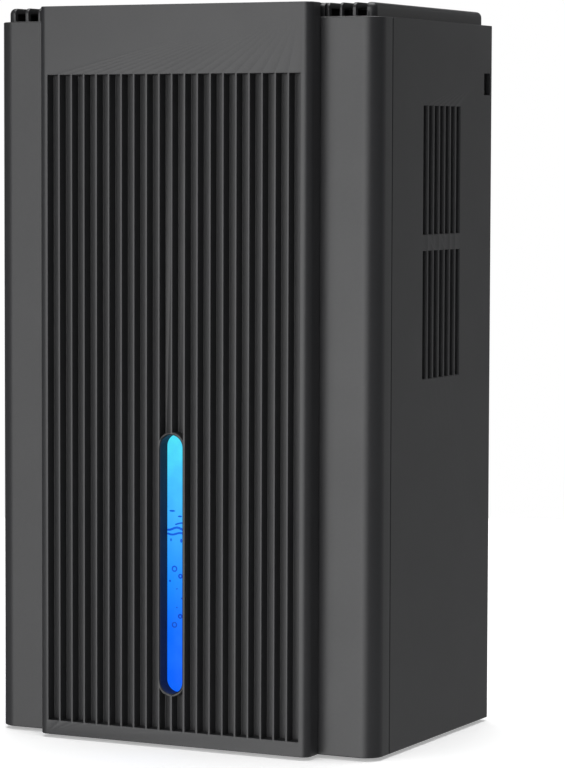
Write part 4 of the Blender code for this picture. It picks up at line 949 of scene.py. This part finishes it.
def make_level_lines():
    """Raised filling marks on both side walls of the tank; the longest is the full line."""
    low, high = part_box("water_tank")
    middle = (low.y + high.y) / 2
    pieces = []
    for x in (low.x, high.x):
        for height, length in zip(LINE_LEVELS, LINE_LENGTHS):
            size = (LINE_SIZE[0], length, LINE_SIZE[1])
            pieces.append(bar("level_line", size, (x, middle, level(height)), LINE_WIDTH))
    marks = united("tank_level_lines", pieces)
    dress(marks, "lid_plastic", BODY_OF["water_tank"], look=LOOKS["print"])


# ---------------------------------------------------------------- floor

FLOOR_RADIUS = 0.9
FLOOR_GLOW = 0.34


def make_floor():
    bm = bmesh.new()
    bmesh.ops.create_circle(bm, cap_ends=True, segments=96, radius=FLOOR_RADIUS)
    mesh = bpy.data.meshes.new("studio_floor")
    bm.to_mesh(mesh)
    bm.free()
    floor = link("studio_floor", mesh)
    look = Look("studio_floor")
    cloud = look.noise(1.4, 2.0)
    tone = look.mix(look.remap(cloud, 0.3, 0.7), (0.90, 0.90, 0.90, 1.0), (0.92, 0.92, 0.92, 1.0))
    look.shader.inputs["Emission Color"].default_value = (1.0, 1.0, 1.0, 1.0)
    look.shader.inputs["Emission Strength"].default_value = FLOOR_GLOW
    gloss = look.remap(look.noise(3.0, 2.0), 0.3, 0.7, 0.68, 0.78)
    mesh.materials.append(look.finish(tone, gloss))
    floor.visible_glossy = False
    floor.visible_shadow = False


# ---------------------------------------------------------------- the whole model

SMALL_EDGE = 0.00015
EDGE_WIDTHS = {
    "front_panel": 0.00032,
    "front_shell": 0.00045,
    "rear_housing": 0.00045,
    "top_cover": 0.00030,
    "rear_cover": 0.00035,
    "tank_door": 0.00035,
    "base_plate": 0.00040,
    "window_lens": 0.00020,
    "light_board": 0.00010,
    "control_board": 0.00010,
    "control_plate": 0.00025,
    "partition": 0.00030,
    "drip_tray": 0.00030,
    "tank_lid": 0.00040,
    "water_tank": 0.00050,
    "cell_gasket": 0.00030,
    "peltier_cell": 0.00015,
    "cold_heatsink": 0.00020,
    "hot_heatsink": 0.00015,
    "fan_frame": 0.00040,
    "dc_jack": 0.00020,
    "reed_switch": 0.00020,
    "tank_float": 0.00080,
    "float_magnet": 0.00030,
}

LOOKS = make_looks()
make_camera()
make_lights()
make_world()
make_floor()
make_water_film()
make_painted_glow_sheet()
make_screws()
make_buttons()
make_rotor()
make_level_lines()
for node_name in sorted(NODES):
    if node_name not in REPLACED:
        refine(node_name, EDGE_WIDTHS.get(node_name, SMALL_EDGE))
